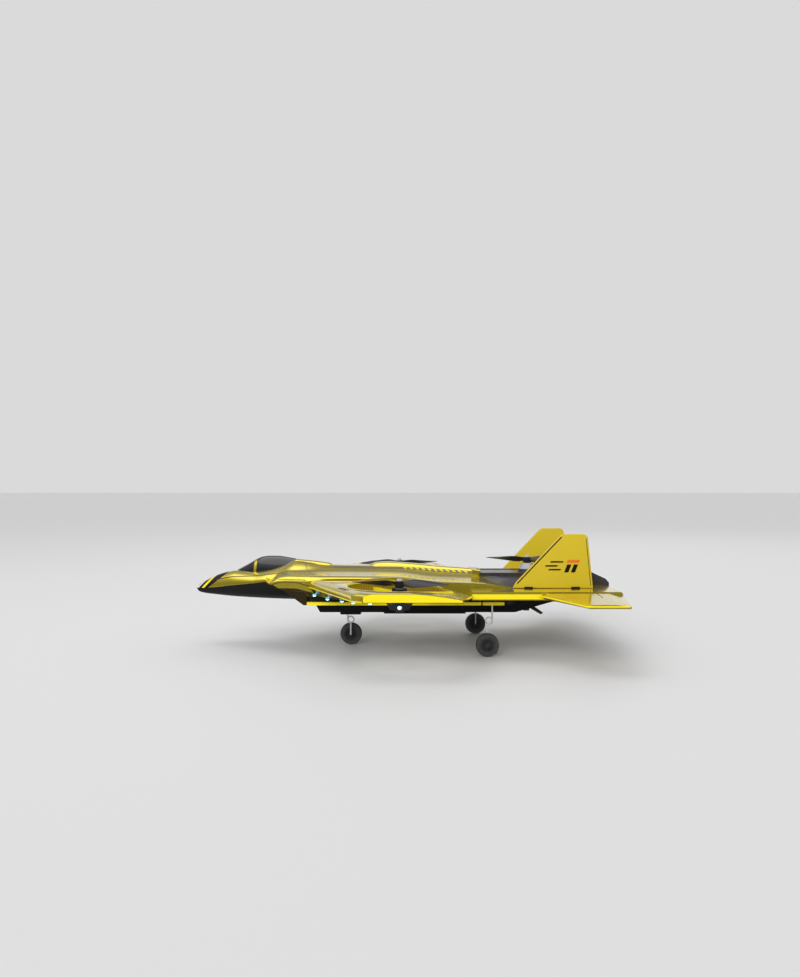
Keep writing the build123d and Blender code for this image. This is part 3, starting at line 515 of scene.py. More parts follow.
def ribbon(name: str, path: Sequence[tuple[float, float]], width: float, lift: float, surface: HeightLine,
           finish: Finish, closed: bool = False, depth: float = 0.5, samples: int = 0,
           **options: object) -> bpy.types.Object:
    """A thin strip that lies on a surface, such as a seam line or a stripe.

    Each cross-section is a low box: its top follows the surface plus lift, its bottom lies depth below.

    Args:
        name: the piece's name.
        path: (x, y) points of its middle line.
        width: its width.
        lift: how far its top stands over the surface.
        surface: height of the surface over (x, y).
        finish: its surface finish.
        closed: True for a closed loop.
        depth: how far its underside lies under its top.
        samples: points after resampling, or 0 to take one every millimetre.
        options: what piece() takes.

    Returns:
        The new object.
    """
    line = np.array(list(path) + ([path[0]] if closed else []), float)
    run = np.concatenate([[0], np.cumsum(np.hypot(*np.diff(line, axis=0).T))])
    count = samples or max(3, int(run[-1]))
    spot = np.linspace(0, run[-1], count, endpoint=not closed)
    middle = np.stack([np.interp(spot, run, line[:, k]) for k in (0, 1)], -1)
    if closed:
        along = np.roll(middle, -1, 0) - np.roll(middle, 1, 0)
    else:
        along = np.gradient(middle, axis=0)
    along /= np.maximum(np.linalg.norm(along, axis=1, keepdims=True), TINY)
    normal = np.stack([-along[:, 1], along[:, 0]], -1) * width / 2
    left, right = middle + normal, middle - normal
    top_left, top_right = (surface(p[:, 0], p[:, 1]) + lift for p in (left, right))
    top = surface(middle[:, 0], middle[:, 1]) + lift
    loop = np.stack([
        np.column_stack([left, top_left]), np.column_stack([middle, top]),
        np.column_stack([right, top_right]), np.column_stack([right, top_right - depth]),
        np.column_stack([left, top_left - depth])], 1)
    return ring(name, loop, finish, **options) if closed else loft(name, loop, finish, **options)


def tube(name: str, path: Array, radius: float, finish: Finish, sides: int = 14,
         **options: object) -> bpy.types.Object:
    """A round wire along a path, its section carried without twist.

    Each section's first axis is the last one's, made square to the path again.

    Args:
        name: the piece's name.
        path: points of shape (n, 3).
        radius: the wire's radius.
        finish: its surface finish.
        sides: points round each section.
        options: what piece() takes.

    Returns:
        The new object.
    """
    direction = np.gradient(path, axis=0)
    direction /= np.linalg.norm(direction, axis=1, keepdims=True)
    first = np.zeros_like(path)
    guess = np.array([0.0, 1.0, 0.0]) if abs(direction[0, 1]) < 0.9 else np.array([1.0, 0.0, 0.0])
    for k, d in enumerate(direction):
        guess = guess - d * guess.dot(d)
        guess /= np.linalg.norm(guess)
        first[k] = guess
    second = np.cross(direction, first)
    angle = np.linspace(0, 2 * math.pi, sides, endpoint=False)[None, :, None]
    sections = path[:, None] + radius * (first[:, None] * np.cos(angle) + second[:, None] * np.sin(angle))
    return loft(name, sections, finish, **options)


def rounded(corners: Sequence[tuple[float, float]], radius: Sequence[float] | float,
            steps: int = 6) -> Array:
    """Outline of a polygon with its corners rounded by quadratic curves.

    Args:
        corners: the polygon's corners.
        radius: how far from each corner its curve starts, one value or one for each corner.
        steps: points on each curve.

    Returns:
        Points of shape (n, 2).
    """
    base = np.array(corners, float)
    reach = np.broadcast_to(np.array(radius, float), len(base))
    t = np.linspace(0, 1, steps)[:, None]
    parts = []
    for k, corner in enumerate(base):
        back, ahead = base[k - 1] - corner, base[(k + 1) % len(base)] - corner
        start = corner + back / np.linalg.norm(back) * reach[k]
        end = corner + ahead / np.linalg.norm(ahead) * reach[k]
        parts.append(start * (1 - t) ** 2 + corner * 2 * t * (1 - t) + end * t * t)
    return np.concatenate(parts)


def plate(name: str, outline: Array, low: float, high: float, axis: str, edge: float, finish: Finish,
          **options: object) -> bpy.types.Object:
    """A flat plate with rounded edges, standing across axis between low and high.

    The outline is drawn in toward its middle by edge * (1 - cos a) as the rim turns through a.

    Args:
        name: the piece's name.
        outline: points of its outline in the two other axes, in X, Y, Z order.
        low: where its lower face lies on the axis.
        high: where its upper face lies on the axis.
        axis: "x", "y" or "z".
        edge: radius of its rounded edge.
        finish: its surface finish.
        options: what piece() takes.

    Returns:
        The new object.
    """
    ahead, back = np.roll(outline, -1, 0) - outline, outline - np.roll(outline, 1, 0)
    turn = ahead / np.maximum(np.linalg.norm(ahead, axis=1, keepdims=True), TINY)
    turn = turn + back / np.maximum(np.linalg.norm(back, axis=1, keepdims=True), TINY)
    turn /= np.maximum(np.linalg.norm(turn, axis=1, keepdims=True), TINY)
    following = np.roll(outline, -1, 0)
    area = np.sum(outline[:, 0] * following[:, 1] - outline[:, 1] * following[:, 0])
    inward = np.stack([-turn[:, 1], turn[:, 0]], -1) * np.sign(area)
    angle = np.linspace(0, math.pi / 2, 5)
    inset = edge * (1 - np.sin(angle))
    rise = edge * (1 - np.cos(angle))
    levels = np.concatenate([low + rise, (high - rise)[::-1]])
    insets = np.concatenate([inset, inset[::-1]])
    flat = outline[None] + inward[None] * insets[:, None, None]
    tall = np.broadcast_to(levels[:, None, None], flat.shape[:2] + (1,))
    order = {"x": [2, 0, 1], "y": [0, 2, 1], "z": [0, 1, 2]}[axis]
    points = np.concatenate([flat, tall], -1)[..., order]
    return loft(name, points, finish, **options)


# ------------------------------------------------------------------------------ fuselage


@dataclass
class Fuselage:
    """Nose, upper shell, spine covers and cockpit.

    The upper surface is a height over (x, y): half an ellipse at the nose, and behind it broad
    shoulders whose spine falls off as 1 / (1 + (x / spread)^3); the two meet in a rounded valley, and
    the shoulder's rim turns down as a quarter ellipse.
    """

    nose_z: float = 55.0
    nose_y: float = -200.0
    shoulder_y: float = -128.0
    after_nose: tuple[float, float] = (-90.0, -80.0)
    spread: float = 22.0
    rim_width: float = 10.0
    ring_leans: tuple[float, ...] = (0.95, 0.95, 0.95, 1.3)
    ring_seams: tuple[float, ...] = (-197.5, -194.6, -192.0, -188.4)
    nose_half: BodyLine = BodyLine(((-200, 0.4), (-199, 2.2), (-197, 3.7), (-192, 6.2), (-182.5, 10.5),
                                    (-161, 20.5), (-141.7, 28.5), (-127, 33), (-103, 35), (-87, 35)))
    nose_top: BodyLine = BodyLine(((-200, 55.4), (-199, 57.2), (-197, 58.8), (-192, 61.2), (-182.5, 66.1),
                                   (-173, 69.5), (-161, 71.9), (-141.7, 72.2), (-127, 74.2), (-115, 77.6),
                                   (-103, 81.5), (-87, 79.8)))
    chine: BodyLine = BodyLine(((-200, 55), (-192, 55.5), (-182.5, 56.6), (-161, 59.5), (-141.7, 62),
                                (-127, 64), (-103, 63), (-87, 61)))
    bottom: BodyLine = BodyLine(((-200, 54.8), (-199, 52.8), (-197, 51.2), (-192, 49.9), (-182.5, 48.8),
                                 (-161, 46.8), (-141.7, 45.8), (-127, 45.1), (-103, 44.4), (-87, 44.2)))
    shoulder_half: BodyLine = BodyLine(((-128, 32.7), (-121.5, 54), (-114, 56.5), (-103, 58.5), (-87, 61),
                                        (100, 61)))
    shoulder_top: BodyLine = BodyLine(((-128, 62), (-121.5, 70), (-103, 81.5), (-87, 79.8), (-69, 77.8),
                                       (-30, 77.2), (-3, 77.0), (36, 74.6), (73, 71.8), (100, 61.4)))
    shoulder_edge: BodyLine = BodyLine(((-128, 61), (-121.5, 65.2), (-114, 70), (-103, 70.8), (-87, 70.9),
                                        (-69, 71.2), (-30, 71), (-3, 70.4), (24, 67.4), (36, 66.6), (73, 65),
                                        (100, 61.2)))
    rim_drop: BodyLine = BodyLine(((-122, 0.5), (-114, 5.2), (-103, 6.2), (-87, 6.0), (-69, 2.5), (-3, 1.6),
                                   (36, 0.5), (100, 0.2)))
    under: BodyLine = BodyLine(((-128, 63.8), (-121.5, 63.8), (-110, 59.5), (-87, 57), (-86, 53.6),
                                (100, 53.6)))
    shell_end: float = 100.0
    cover_half: float = 23.0
    spine_end: float = 73.0
    deck_top: float = 60.9

    def half_width(self, y: Array) -> Array:
        """Half width of the upper shell's outline."""
        return np.where(y < self.shoulder_y, self.nose_half.at(y), self.shoulder_half.at(y))

    def height(self, x: Array, y: Array) -> Array:
        """Height of the upper shell over a point.

        Args:
            x: widths.
            y: lengths, of the same shape.

        Returns:
            Heights of the outer surface.
        """
        half = self.nose_half.at(y)
        reach = np.clip(np.abs(x) / half, 0, 1)
        chine = self.chine.at(y)
        nose = chine + (self.nose_top.at(y) - chine) * np.sqrt(1 - reach**2)
        edge = self.shoulder_edge.at(y)
        ridge = 1 / (1 + (np.abs(x) / self.spread) ** 3)
        rim = np.clip((np.abs(x) - self.shoulder_half.at(y) + self.rim_width) / self.rim_width, 0, 1)
        drop = self.rim_drop.at(y) * (1 - np.sqrt(1 - rim**2))
        broad = edge + (self.shoulder_top.at(y) - edge) * ridge - drop
        after_nose = ease(y, *self.after_nose)
        behind = np.where(y > self.shoulder_y, soft_max(nose, broad, 1.2), nose)
        return behind * (1 - after_nose) + broad * after_nose

    def sections(self, stations: Array, lean: Array, columns: int = 161) -> Array:
        """Closed loops of the upper shell: the height line over the top, then a flat underside.

        Args:
            stations: lengths of the loops at the nose tip's height.
            lean: how far each loop leans back for every millimetre of height.
            columns: points over the top.

        Returns:
            Points of shape (stations, loop, 3).
        """
        u = np.sin(np.linspace(-1, 1, columns) * math.pi / 2)
        s = stations[:, None]
        y = np.broadcast_to(s, (len(stations), columns)).copy()
        for _ in range(8):
            x = self.half_width(y) * u
            z = self.height(x, y)
            y = s + lean[:, None] * (z - self.nose_z)
            y = np.maximum(y, self.nose_y)
        x = self.half_width(y) * u
        z = self.height(x, y)
        top = np.stack([x, y, z], -1)
        floor = np.where(s < self.shoulder_y, self.chine.at(s), self.under.at(s))[:, 0]
        low = np.minimum(floor, z[:, 0]) - 0.05
        right = np.stack([x[:, -1], y[:, -1], low], -1)
        left = np.stack([x[:, 0], y[:, 0], low], -1)
        return np.concatenate([top, right[:, None], left[:, None]], 1)

    def build(self) -> None:
        """Make every piece of the fuselage."""
        self._nose_rings()
        self._shell()
        self._lower_nose()
        self._cockpit()
        self._spine_covers()
        self._seams()
        self._flank_shades()
        self._louvres()

    def _nose_rings(self) -> None:
        """Silver tip, yellow collar and the two black gaskets between slanted seams."""
        seams = (self.nose_y,) + self.ring_seams
        names = ("nose_tip_cone", "front_gasket_ring", "nose_collar_ring", "rear_gasket_ring")
        nodes = (("nose_tip",), ("nose_gaskets",), ("nose_collar",), ())
        finishes = (SILVER_TIP_AND_HIGHLIGHT, GASKET, YELLOW_TRIM_AND_HIGHLIGHT, GASKET)
        leans = self.ring_leans[:1] + self.ring_leans
        for name, front, rear, finish, node, lean, next_lean in zip(
                names, seams, seams[1:], finishes, nodes, leans, leans[1:]):
            stations = np.linspace(front, rear, 12)
            sections = self.sections(stations, np.linspace(lean, next_lean, 12), 61)
            loft(name, sections, finish, stands_for=node)

    def _shell(self) -> None:
        """The upper shell from the last nose seam to the rear deck."""
        stations = np.concatenate([
            np.linspace(self.ring_seams[-1], self.shoulder_y, 60), np.linspace(-127, -121.5, 14),
            np.linspace(-120.5, self.shell_end, 200),
        ])
        lean = self.ring_leans[-1] * (1 - ease(stations, self.ring_seams[-1], -165))
        sections = self.sections(stations, lean, 201)
        x, y, z = sections[..., 0], sections[..., 1], sections[..., 2]
        sunk = (np.abs(x) < self.cover_half) & (y > self.spine_end)
        sections[..., 2] = np.where(sunk, np.minimum(z, self.deck_top - 1), z)
        loft("upper_shell_skin", sections, GOLD, stands_for=("upper_shell",))

    def _lower_nose(self) -> None:
        """The black underside of the nose: half an ellipse hanging from the chine."""
        stations = np.concatenate([np.linspace(self.nose_y, -190, 16), np.linspace(-189, -87, 60)])
        u = np.sin(np.linspace(-1, 1, 81) * math.pi / 2)
        y = np.broadcast_to(stations[:, None], (len(stations), 81))
        half, chine = self.nose_half.at(y), self.chine.at(y)
        z = chine - (chine - self.bottom.at(y)) * np.sqrt(np.maximum(0, 1 - u**2)) ** 0.8
        loft("lower_nose_skin", np.stack([half * u, y, z], -1), BLACK, stands_for=("lower_nose",))

    def _bubble(self, name: str, top: BodyLine, half: BodyLine, base: float, front: float, rear: float,
                power: float, finish: Finish, nodes: Sequence[str], swell: float = 0.0) -> None:
        """A raised bubble: z = base + (top - base) (1 - |u|^power)^(1 / power) across each section.

        Args:
            name: the piece's name.
            top: height of its ridge.
            half: half its width.
            base: height of its foot.
            front: where it starts.
            rear: where it ends.
            power: how square its sections are.
            finish: its surface finish.
            nodes: the frame's nodes that it replaces.
            swell: how much it stands out beyond its lines.
        """
        y = np.linspace(front, rear, max(8, int((rear - front) * 1.5)))
        u = np.sin(np.linspace(-1, 1, 61) * math.pi / 2)
        z = base + (top.at(y) + swell - base)[:, None] * (1 - np.abs(u) ** power) ** (1 / power)
        x = (half.at(y) + swell)[:, None] * u
        loft(name, np.stack([x, np.broadcast_to(y[:, None], x.shape), z], -1), finish, stands_for=nodes)

    def _cockpit(self) -> None:
        """Windshield, bow frame, canopy and the thin bright line over the windshield's ridge, a painted
        highlight.
        """
        top = BodyLine(((-161.4, 71.6), (-150, 77.8), (-141.7, 82.7), (-136, 85.2), (-128, 86), (-120, 85.9),
                        (-114, 85.1), (-103, 83.1)))
        half = BodyLine(((-161.4, 3.5), (-156, 7.5), (-150, 10.4), (-141.7, 13.4), (-124, 15.6), (-114, 14.8),
                         (-103, 13)))
        base = 64.0
        self._bubble("windshield_screen", top, half, base, -161.4, -143.0, 2.0, SMOKE, ("windshield",))
        self._bubble("canopy_bow_frame", top, half, base, -143.0, -140.4, 2.0, GOLD, ("canopy_bow",), 0.3)
        self._bubble("canopy_screen", top, half, base, -140.4, -103.2, 2.0, SMOKE, ("canopy",))
        y = np.linspace(-161, -143, 24)
        path = np.stack([np.zeros_like(y), y, top.at(y) + 0.05], -1)
        # painted highlight along the windshield's ridge
        tube("windshield_ridge_highlight", path, 0.5, SILVER_TIP_AND_HIGHLIGHT, 10)

    def _spine_covers(self) -> None:
        """The raised fairing behind the canopy and the long dorsal cover."""
        fairing_top = BodyLine(((-103.2, 83.2), (-85, 81.3), (-71, 79.3), (-69, 78.6), (-67.5, 77.4)))
        fairing_half = BodyLine(((-103.2, 13), (-85, 12), (-69, 11), (-67.5, 9.5)))
        self._bubble("canopy_fairing_skin", fairing_top, fairing_half, 70, -103.2, -67.5, 3.0, GOLD,
                     ("canopy_fairing",))
        cover_top = BodyLine(((-34, 77.1), (-30, 78.2), (-26, 79.6), (-17, 80.2), (-3, 79.7), (36, 76.3),
                              (70, 73.7), (72.2, 73.2), (73.2, 71.5)))
        cover_half = BodyLine(((-34, 6), (-30, 9.5), (-24, 11), (66, 11), (71, 10), (73.2, 7.5)))
        self._bubble("dorsal_cover_skin", cover_top, cover_half, 66, -34, 73.2, 3.4, GOLD,
                     ("dorsal_cover",))

    def _seams(self) -> None:
        """Crease and groove lines on both sides, and the bright line along the nose's ridge, a painted
        highlight.
        """
        creases = {
            "nose_crease": (((9.5, -179), (18.5, -155), (24, -137), (27, -124), (31, -108)), 0.9),
            "beak_crease": (((50, -119.5), (55.5, -112), (57.4, -102), (60, -88)), 0.5),
            "spine_groove": (((12, -101), (12, 70)), 0.8),
            "band_groove": (((17.2, -90), (17.2, 70)), 0.5),
            "shoulder_groove": (((36, -96), (42, -70), (45, -30), (44, 20), (40, 50)), 0.5),
            "cross_seam": (((13, -93), (24, -91), (40, -84), (52, -74)), 0.45),
        }
        for side in Side:
            for name, (path, width) in creases.items():
                ribbon(f"{side.word}_{name}", side.mirrored(path), width, 0.06, self.height, LINE_GREY)
        y = np.linspace(-198.5, -161, 40)
        # painted highlight along the nose's ridge
        tube("nose_ridge_highlight", np.stack([np.zeros_like(y), y, self.nose_top.at(y)], -1), 0.45, SILVER_TIP_AND_HIGHLIGHT, 10)

    def _flank_shades(self) -> None:
        """Painted shade under each shoulder's beak: a thin dark panel that follows the side of the body."""
        y = np.linspace(-120.5, -76, 60)
        top = BodyLine(((-120.5, 61.6), (-116, 60.4), (-106, 60.6), (-97, 60.4), (-88, 58.4),
                        (-76, 55.5))).at(y)
        low = np.minimum(self.under.at(y) + 0.1, top - 0.5)
        out = self.shoulder_half.at(y) + 0.2
        corners = [(out - 0.8, low), (out, low), (out, top), (out - 0.8, top)]
        for side in Side:
            sections = np.stack([np.stack([side.value * x, y, z], -1) for x, z in corners], 1)
            # painted shade: dark panel on the body's side under the beak
            loft(f"{side.word}_flank_shade", sections[:, ::side.value], INTAKE_PAINTED_SHADE)
        crease = BodyLine(((-120.5, 63.0), (-114, 65.4), (-107, 66.4), (-98, 66.0), (-90, 64.4),
                           (-83, 62.4)))
        y = np.linspace(-120.5, -83, 50)
        z = crease.at(y)
        x = self.shoulder_half.at(y) + 0.1 - np.clip((z - 64.5) / 4, 0, 0.6)
        for side in Side:
            tube(f"{side.word}_flank_crease", np.stack([side.value * x, y, z], -1), 0.4, LINE_GREY, 10)

    def _louvres(self, count: int = 11) -> None:
        """Grey band along the spine's flank, a painted reflection on the gold skin, its row of slanted bars
        and the block at its rear end.

        Args:
            count: bars on each side.
        """
        outline = rounded(((65.5, 67.5), (65.5, 74.2), (74.6, 73.0), (74.6, 67.5)), 0.8)
        for side in Side:
            band = side.mirrored(((14.6, -66), (14.6, 66)))
            # painted reflection: a grey band where the gold skin reflects its surroundings
            ribbon(f"{side.word}_flank_band", band, 4.4, 0.12, self.height, REFLECTION_GREY)
            for number in range(count):
                y = 1.0 + number * 5.8
                bar = side.mirrored(((12.6, y), (16.8, y + 2.4)))
                ribbon(f"{side.word}_louvre_{number + 1}", bar, 2.2, 0.7, self.height, YELLOW_TRIM_AND_HIGHLIGHT,
                       samples=6)
            plate(f"{side.word}_spine_block", outline, *side.span(13, 19), "x", 0.7, GOLD)


# ------------------------------------------------------------------------------ wings


@dataclass
class Wing:
    """One wing round its rotor duct, for either side.

    The skin is a ring of loops: each loop starts at the duct's wall, runs out over the top to the
    outline, turns under and comes back below. Its heights follow a blunt, flat-topped section.
    """

    side: Side
    duct_x: float = 110.0
    duct_y: float = -3.0
    duct_radius: float = 46.0
    root_x: float = 61.0
    tip_x: float = 170.0
    knee_x: float = 162.0
    flap_x: float = 94.0
    root_front: float = -85.0
    knee_front: float = -42.0
    knee_slope: float = 1.25
    rear: float = 60.0
    tip_rear: float = 47.0
    nose_length: float = 10.0
    rays: int = 260
    rows: int = 30
    crowding: float = 0.8
    ribs: int = 90
    rib_steps: int = 720
    rib_depth: float = 0.35
    top: float = 68.4
    root_bottom: float = 53.6
    tip_bottom: float = 61.2
    edge: float = 2.3
    lead_low: float = 61.6
    lead_high: float = 64.4
    outline: tuple[tuple[float, float], ...] = (
        (61.0, -85.0), (162.0, -42.0), (169.5, -32.6), (169.5, 47.0), (94.0, 60.0), (61.0, 60.0))

    def underside(self, x: Array) -> Array:
        """Height of the flat underside, rising to the tip."""
        share = (np.abs(x) - self.root_x) / (self.tip_x - self.root_x)
        return self.root_bottom + share * (self.tip_bottom - self.root_bottom)

    def chord(self, x: Array) -> tuple[Array, Array]:
        """Leading and trailing edge: each is straight, with one knee.

        Args:
            x: widths.

        Returns:
            Lengths of the leading edge and of the trailing edge.
        """
        x = np.abs(x)
        inner = self.root_front + (x - self.root_x) * (self.knee_front - self.root_front) / (
            self.knee_x - self.root_x)
        front = np.where(x < self.knee_x, inner, self.knee_front + (x - self.knee_x) * self.knee_slope)
        outer = self.rear - (x - self.flap_x) * (self.rear - self.tip_rear) / (self.tip_x - self.flap_x)
        return front, np.where(x < self.flap_x, self.rear, outer)

    def height(self, x: Array, y: Array) -> Array:
        """Height of the upper skin: low upright nose, flat top, straight fall to the thin rear edge.

        The nose rises as a quarter circle over its length behind the leading edge.

        Args:
            x: widths.
            y: lengths, of the same shape.

        Returns:
            Heights of the upper skin.
        """
        front, rear = self.chord(x)
        behind = np.clip((y - front) / self.nose_length, 0, 1)
        share = np.clip((y - front) / (rear - front), 0, 1)
        top = self.lead_high + (self.top - self.lead_high) * np.sqrt(np.clip(1 - (1 - behind) ** 2, 0, 1))
        fall = np.clip((share - 0.5) / 0.5, 0, 1) ** 1.5
        return top * (1 - fall) + (self.underside(x) + self.edge) * fall

    def lower_skin(self, x: Array, y: Array) -> Array:
        """Height where the yellow upper skin ends and the black lower one begins."""
        return np.minimum(self.lead_low, self.height(x, y) - 2.0)

    def belly(self, x: Array, y: Array) -> Array:
        """Height of the black lower skin: it slopes from the leading edge to the flat underside."""
        front, _ = self.chord(x)
        low = self.underside(x)
        return low + (self.lower_skin(x, y) - 0.3 - low) * (1 - ease(y - front, 0.0, 7.0))

    def belly_top(self, x: Array, y: Array) -> Array:
        """Height where the black lower skin starts, just under the yellow one."""
        return self.lower_skin(x, y) - 0.05

    def rim_seat(self, x: Array, y: Array) -> Array:
        """Height under the duct's rim: the upper skin, swollen toward the root."""
        return self.height(x, y) + 2.2 * (1 - ease(np.abs(x), 62.0, 84.0))

    def build(self) -> None:
        """Make the wing's pieces."""
        self._skin()
        self._duct_ribs()
        self._lamps()
        self._lines()

    def _rays(self, count: int) -> tuple[Array, Array]:
        """Rays from the duct's middle to the outline, the outline's corners among them.

        Args:
            count: rays besides those to the corners.

        Returns:
            Unit directions of shape (n, 2), and each ray's length to the outline.
        """
        corners = np.array(self.outline) - (self.duct_x, self.duct_y)
        even = np.linspace(-math.pi, math.pi, count, endpoint=False)
        angle = np.sort(np.concatenate([even, np.arctan2(corners[:, 1], corners[:, 0])]))
        ray = np.stack([np.cos(angle), np.sin(angle)], -1)
        reach = np.full(len(angle), 1e9)
        for start, end in zip(corners, np.roll(corners, -1, 0)):
            span = end - start
            cross = ray[:, 0] * span[1] - ray[:, 1] * span[0]
            cross = np.where(np.abs(cross) < TINY, TINY, cross)
            far = (start[0] * span[1] - start[1] * span[0]) / cross
            spot = (start[0] * ray[:, 1] - start[1] * ray[:, 0]) / cross
            good = (far > 0) & (spot > -1e-6) & (spot < 1 + 1e-6)
            reach = np.where(good, np.minimum(reach, far), reach)
        return ray, reach

    def _shell(self, name: str, top: HeightLine, low: HeightLine, inset: float, finish: Finish,
               nodes: Sequence[str] = ()) -> None:
        """A ring round the duct between two heights.

        Args:
            name: the piece's name without its side.
            top: height of its upper face.
            low: height of its lower face.
            inset: how far its outline is drawn in.
            finish: its surface finish.
            nodes: the frame's nodes that it replaces.
        """
        ray, reach = self._rays(self.rays)
        out = np.linspace(0, 1, self.rows) ** self.crowding
        distance = self.duct_radius + out[None] * (reach - inset - self.duct_radius)[:, None]
        x = self.duct_x + distance * ray[:, :1]
        y = self.duct_y + distance * ray[:, 1:]
        upper = np.stack([self.side.value * x, y, top(x, y)], -1)
        lower = np.stack([self.side.value * x, y, low(x, y)], -1)[:, ::-1]
        loops = np.concatenate([upper, lower], 1)
        ring(f"{self.side.word}_{name}", loops, finish, stands_for=nodes, crease=40)

    def _skin(self) -> None:
        """Yellow upper skin, black lower skin, bright strips that paint the highlights along the tip and the
        leading edge, and the yellow strip on the deck's side.
        """
        self._shell("wing_skin", self.height, self.lower_skin, 0.0, GOLD, (f"{self.side.word}_wing",))
        self._shell("wing_belly", self.belly_top, self.belly, 0.8, BLACK)
        y = np.linspace(-31.5, 46.6, 60)
        x = np.full_like(y, self.tip_x - 0.5)
        # painted highlight: bright plate on the tip's edge
        edge = np.concatenate([
            np.stack([y, self.height(x, y) - 0.35], -1), np.stack([y, self.lower_skin(x, y)], -1)[::-1]])
        plate(f"{self.side.word}_tip_strip", edge, *self.side.span(self.tip_x - 0.8, self.tip_x), "x", 0.2,
              YELLOW_TRIM_AND_HIGHLIGHT)
        # painted highlight along the leading edge
        x = np.concatenate([np.linspace(61.5, 161.5, 80), np.linspace(162.5, 169.3, 8)])
        z = np.full_like(x, self.lead_low + 0.2)
        lead = np.stack([self.side.value * x, self.chord(x)[0] + 0.25, z], -1)
        tube(f"{self.side.word}_leading_strip", lead, 0.55, YELLOW_TRIM_AND_HIGHLIGHT, 12)
        strip = rounded(((60.5, 54.4), (60.5, 58.8), (126, 58.8), (126, 54.4)), 0.3, 3)
        plate(f"{self.side.word}_deck_strip", strip, *self.side.span(89.4, 90.2), "x", 0.15, YELLOW_TRIM_AND_HIGHLIGHT)

    def _lamps(self) -> None:
        """Domed lamps in dark rims: five under the wing behind its leading edge, two on the motor pod."""
        word, sign = self.side.word, self.side.value
        dome = [(0, -2.1), (0.9, -1.9), (1.6, -1.2), (1.9, 0), (0, 0)]
        rim = [(1.95, 0), (1.95, -0.6), (2.3, -0.8), (2.7, -0.5), (2.7, 0)]
        spots = ((68.0, -79.4), (96.0, -65.4), (124.0, -51.1), (148.0, -40.4), (160.0, -26.4))
        nodes: tuple[str, ...] = (f"{word}_lamps",)
        for number, (x, y) in enumerate(spots, 1):
            skin = self.belly(np.array([x]), np.array([y + 2]))[0] + 0.3
            turned(f"{word}_lamp_{number}", dome, (sign * x, y, skin), "z", LAMP, 32, stands_for=nodes)
            turned(f"{word}_lamp_rim_{number}", rim, (sign * x, y, skin), "z", BLACK, 32)
            nodes = ()
        low, high = (np.array(corner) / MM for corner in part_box(f"{word}_lamp_pod"))
        middle = (low + high) / 2
        under = (middle[0], middle[1], low[2] + 1.3)
        turned(f"{word}_pod_lamp", [(r * 1.3, h) for r, h in dome], under, "z", LAMP, 32)
        face = middle[0] + sign * (high[0] - low[0]) * 0.42
        side_dome = [(r * 0.95, -sign * h * 0.7) for r, h in dome]
        turned(f"{word}_pod_side_lamp", side_dome, (face, middle[1], middle[2] + 0.6), "x", LAMP, 32)

    def _duct_ribs(self) -> None:
        """The duct's ribbed inner sleeve: its radius ripples with the angle, and its darker gold is painted
        shade inside the duct.
        """
        angle = np.linspace(0, 2 * math.pi, self.rib_steps, endpoint=False)[:, None]
        ripple = np.clip(np.sin(angle * self.ribs), -0.2, 1) * self.rib_depth
        inner = self.duct_radius - 1.7 - ripple
        outer = np.full_like(inner, self.duct_radius - 1.4)
        wall = self.duct_radius - 1.6
        x_wall = self.duct_x + wall * np.cos(angle)
        low = self.underside(x_wall) + 0.6
        y_wall = self.duct_y + wall * np.sin(angle)
        high = self.height(x_wall, y_wall) - 0.8
        radius = np.concatenate([inner, inner, outer, outer], 1)
        z = np.concatenate([low, high, high, low], 1)
        x = self.side.value * (self.duct_x + radius * np.cos(angle))
        y = self.duct_y + radius * np.sin(angle)
        ring(f"{self.side.word}_duct_ribs", np.stack([x, y, z], -1), SHADED_DUCT_GOLD, crease=60)

    def _line(self, name: str, path: Sequence[tuple[float, float]], width: float = 0.45,
              finish: Finish = LINE_GREY, lift: float = 0.04) -> None:
        """One seam or stripe on the wing's top.

        Args:
            name: the piece's name without its side.
            path: (x, y) points of its middle line on the left wing.
            width: its width.
            finish: its surface finish.
            lift: how far it stands over the skin.
        """
        ribbon(f"{self.side.word}_{name}", self.side.mirrored(path), width, lift, self.height, finish)

    def _lines(self) -> None:
        """Seams along edges and flap, cooling slots, and a rim round the duct that swells at the root."""
        leading = [(63, -78), (157, -36), (164, -27), (164, 36), (160, 42)]
        # a seam line drawn in the grey of a painted reflection
        self._line("leading_seam", leading, 0.8, REFLECTION_GREY, 0.1)
        leading = [(63, -75), (155, -33), (160, -26), (160, 34), (156, 39), (100, 46)]
        self._line("leading_seam_2", leading, 0.5)
        self._line("flap_seam", [(64, 47), (94, 47), (158, 36.5)])
        self._line("flap_seam_2", [(64, 51), (94, 51), (160, 40)], 0.4)
        for number in range(3):
            x = 122.0 + 6.5 * number
            start = self.chord(np.array([x]))[0][0] + 4.5
            self._line(f"slot_{number + 1}", [(x, start), (x + 5.0, start + 4.6)], 1.4, BLACK, 0.15)
        turn = np.linspace(0, 2 * math.pi, 160, endpoint=False)
        rim = self.duct_radius + 1.4
        x = np.clip(self.duct_x + rim * np.cos(turn), 62.6, 169)
        y = self.duct_y + rim * np.sin(turn)
        path = self.side.mirrored(list(zip(x.tolist(), y.tolist())))
        ribbon(f"{self.side.word}_duct_rim", path, 2.2, 0.5, self.rim_seat, GOLD, closed=True, depth=3.0)


# ------------------------------------------------------------------------------ rotors and motors


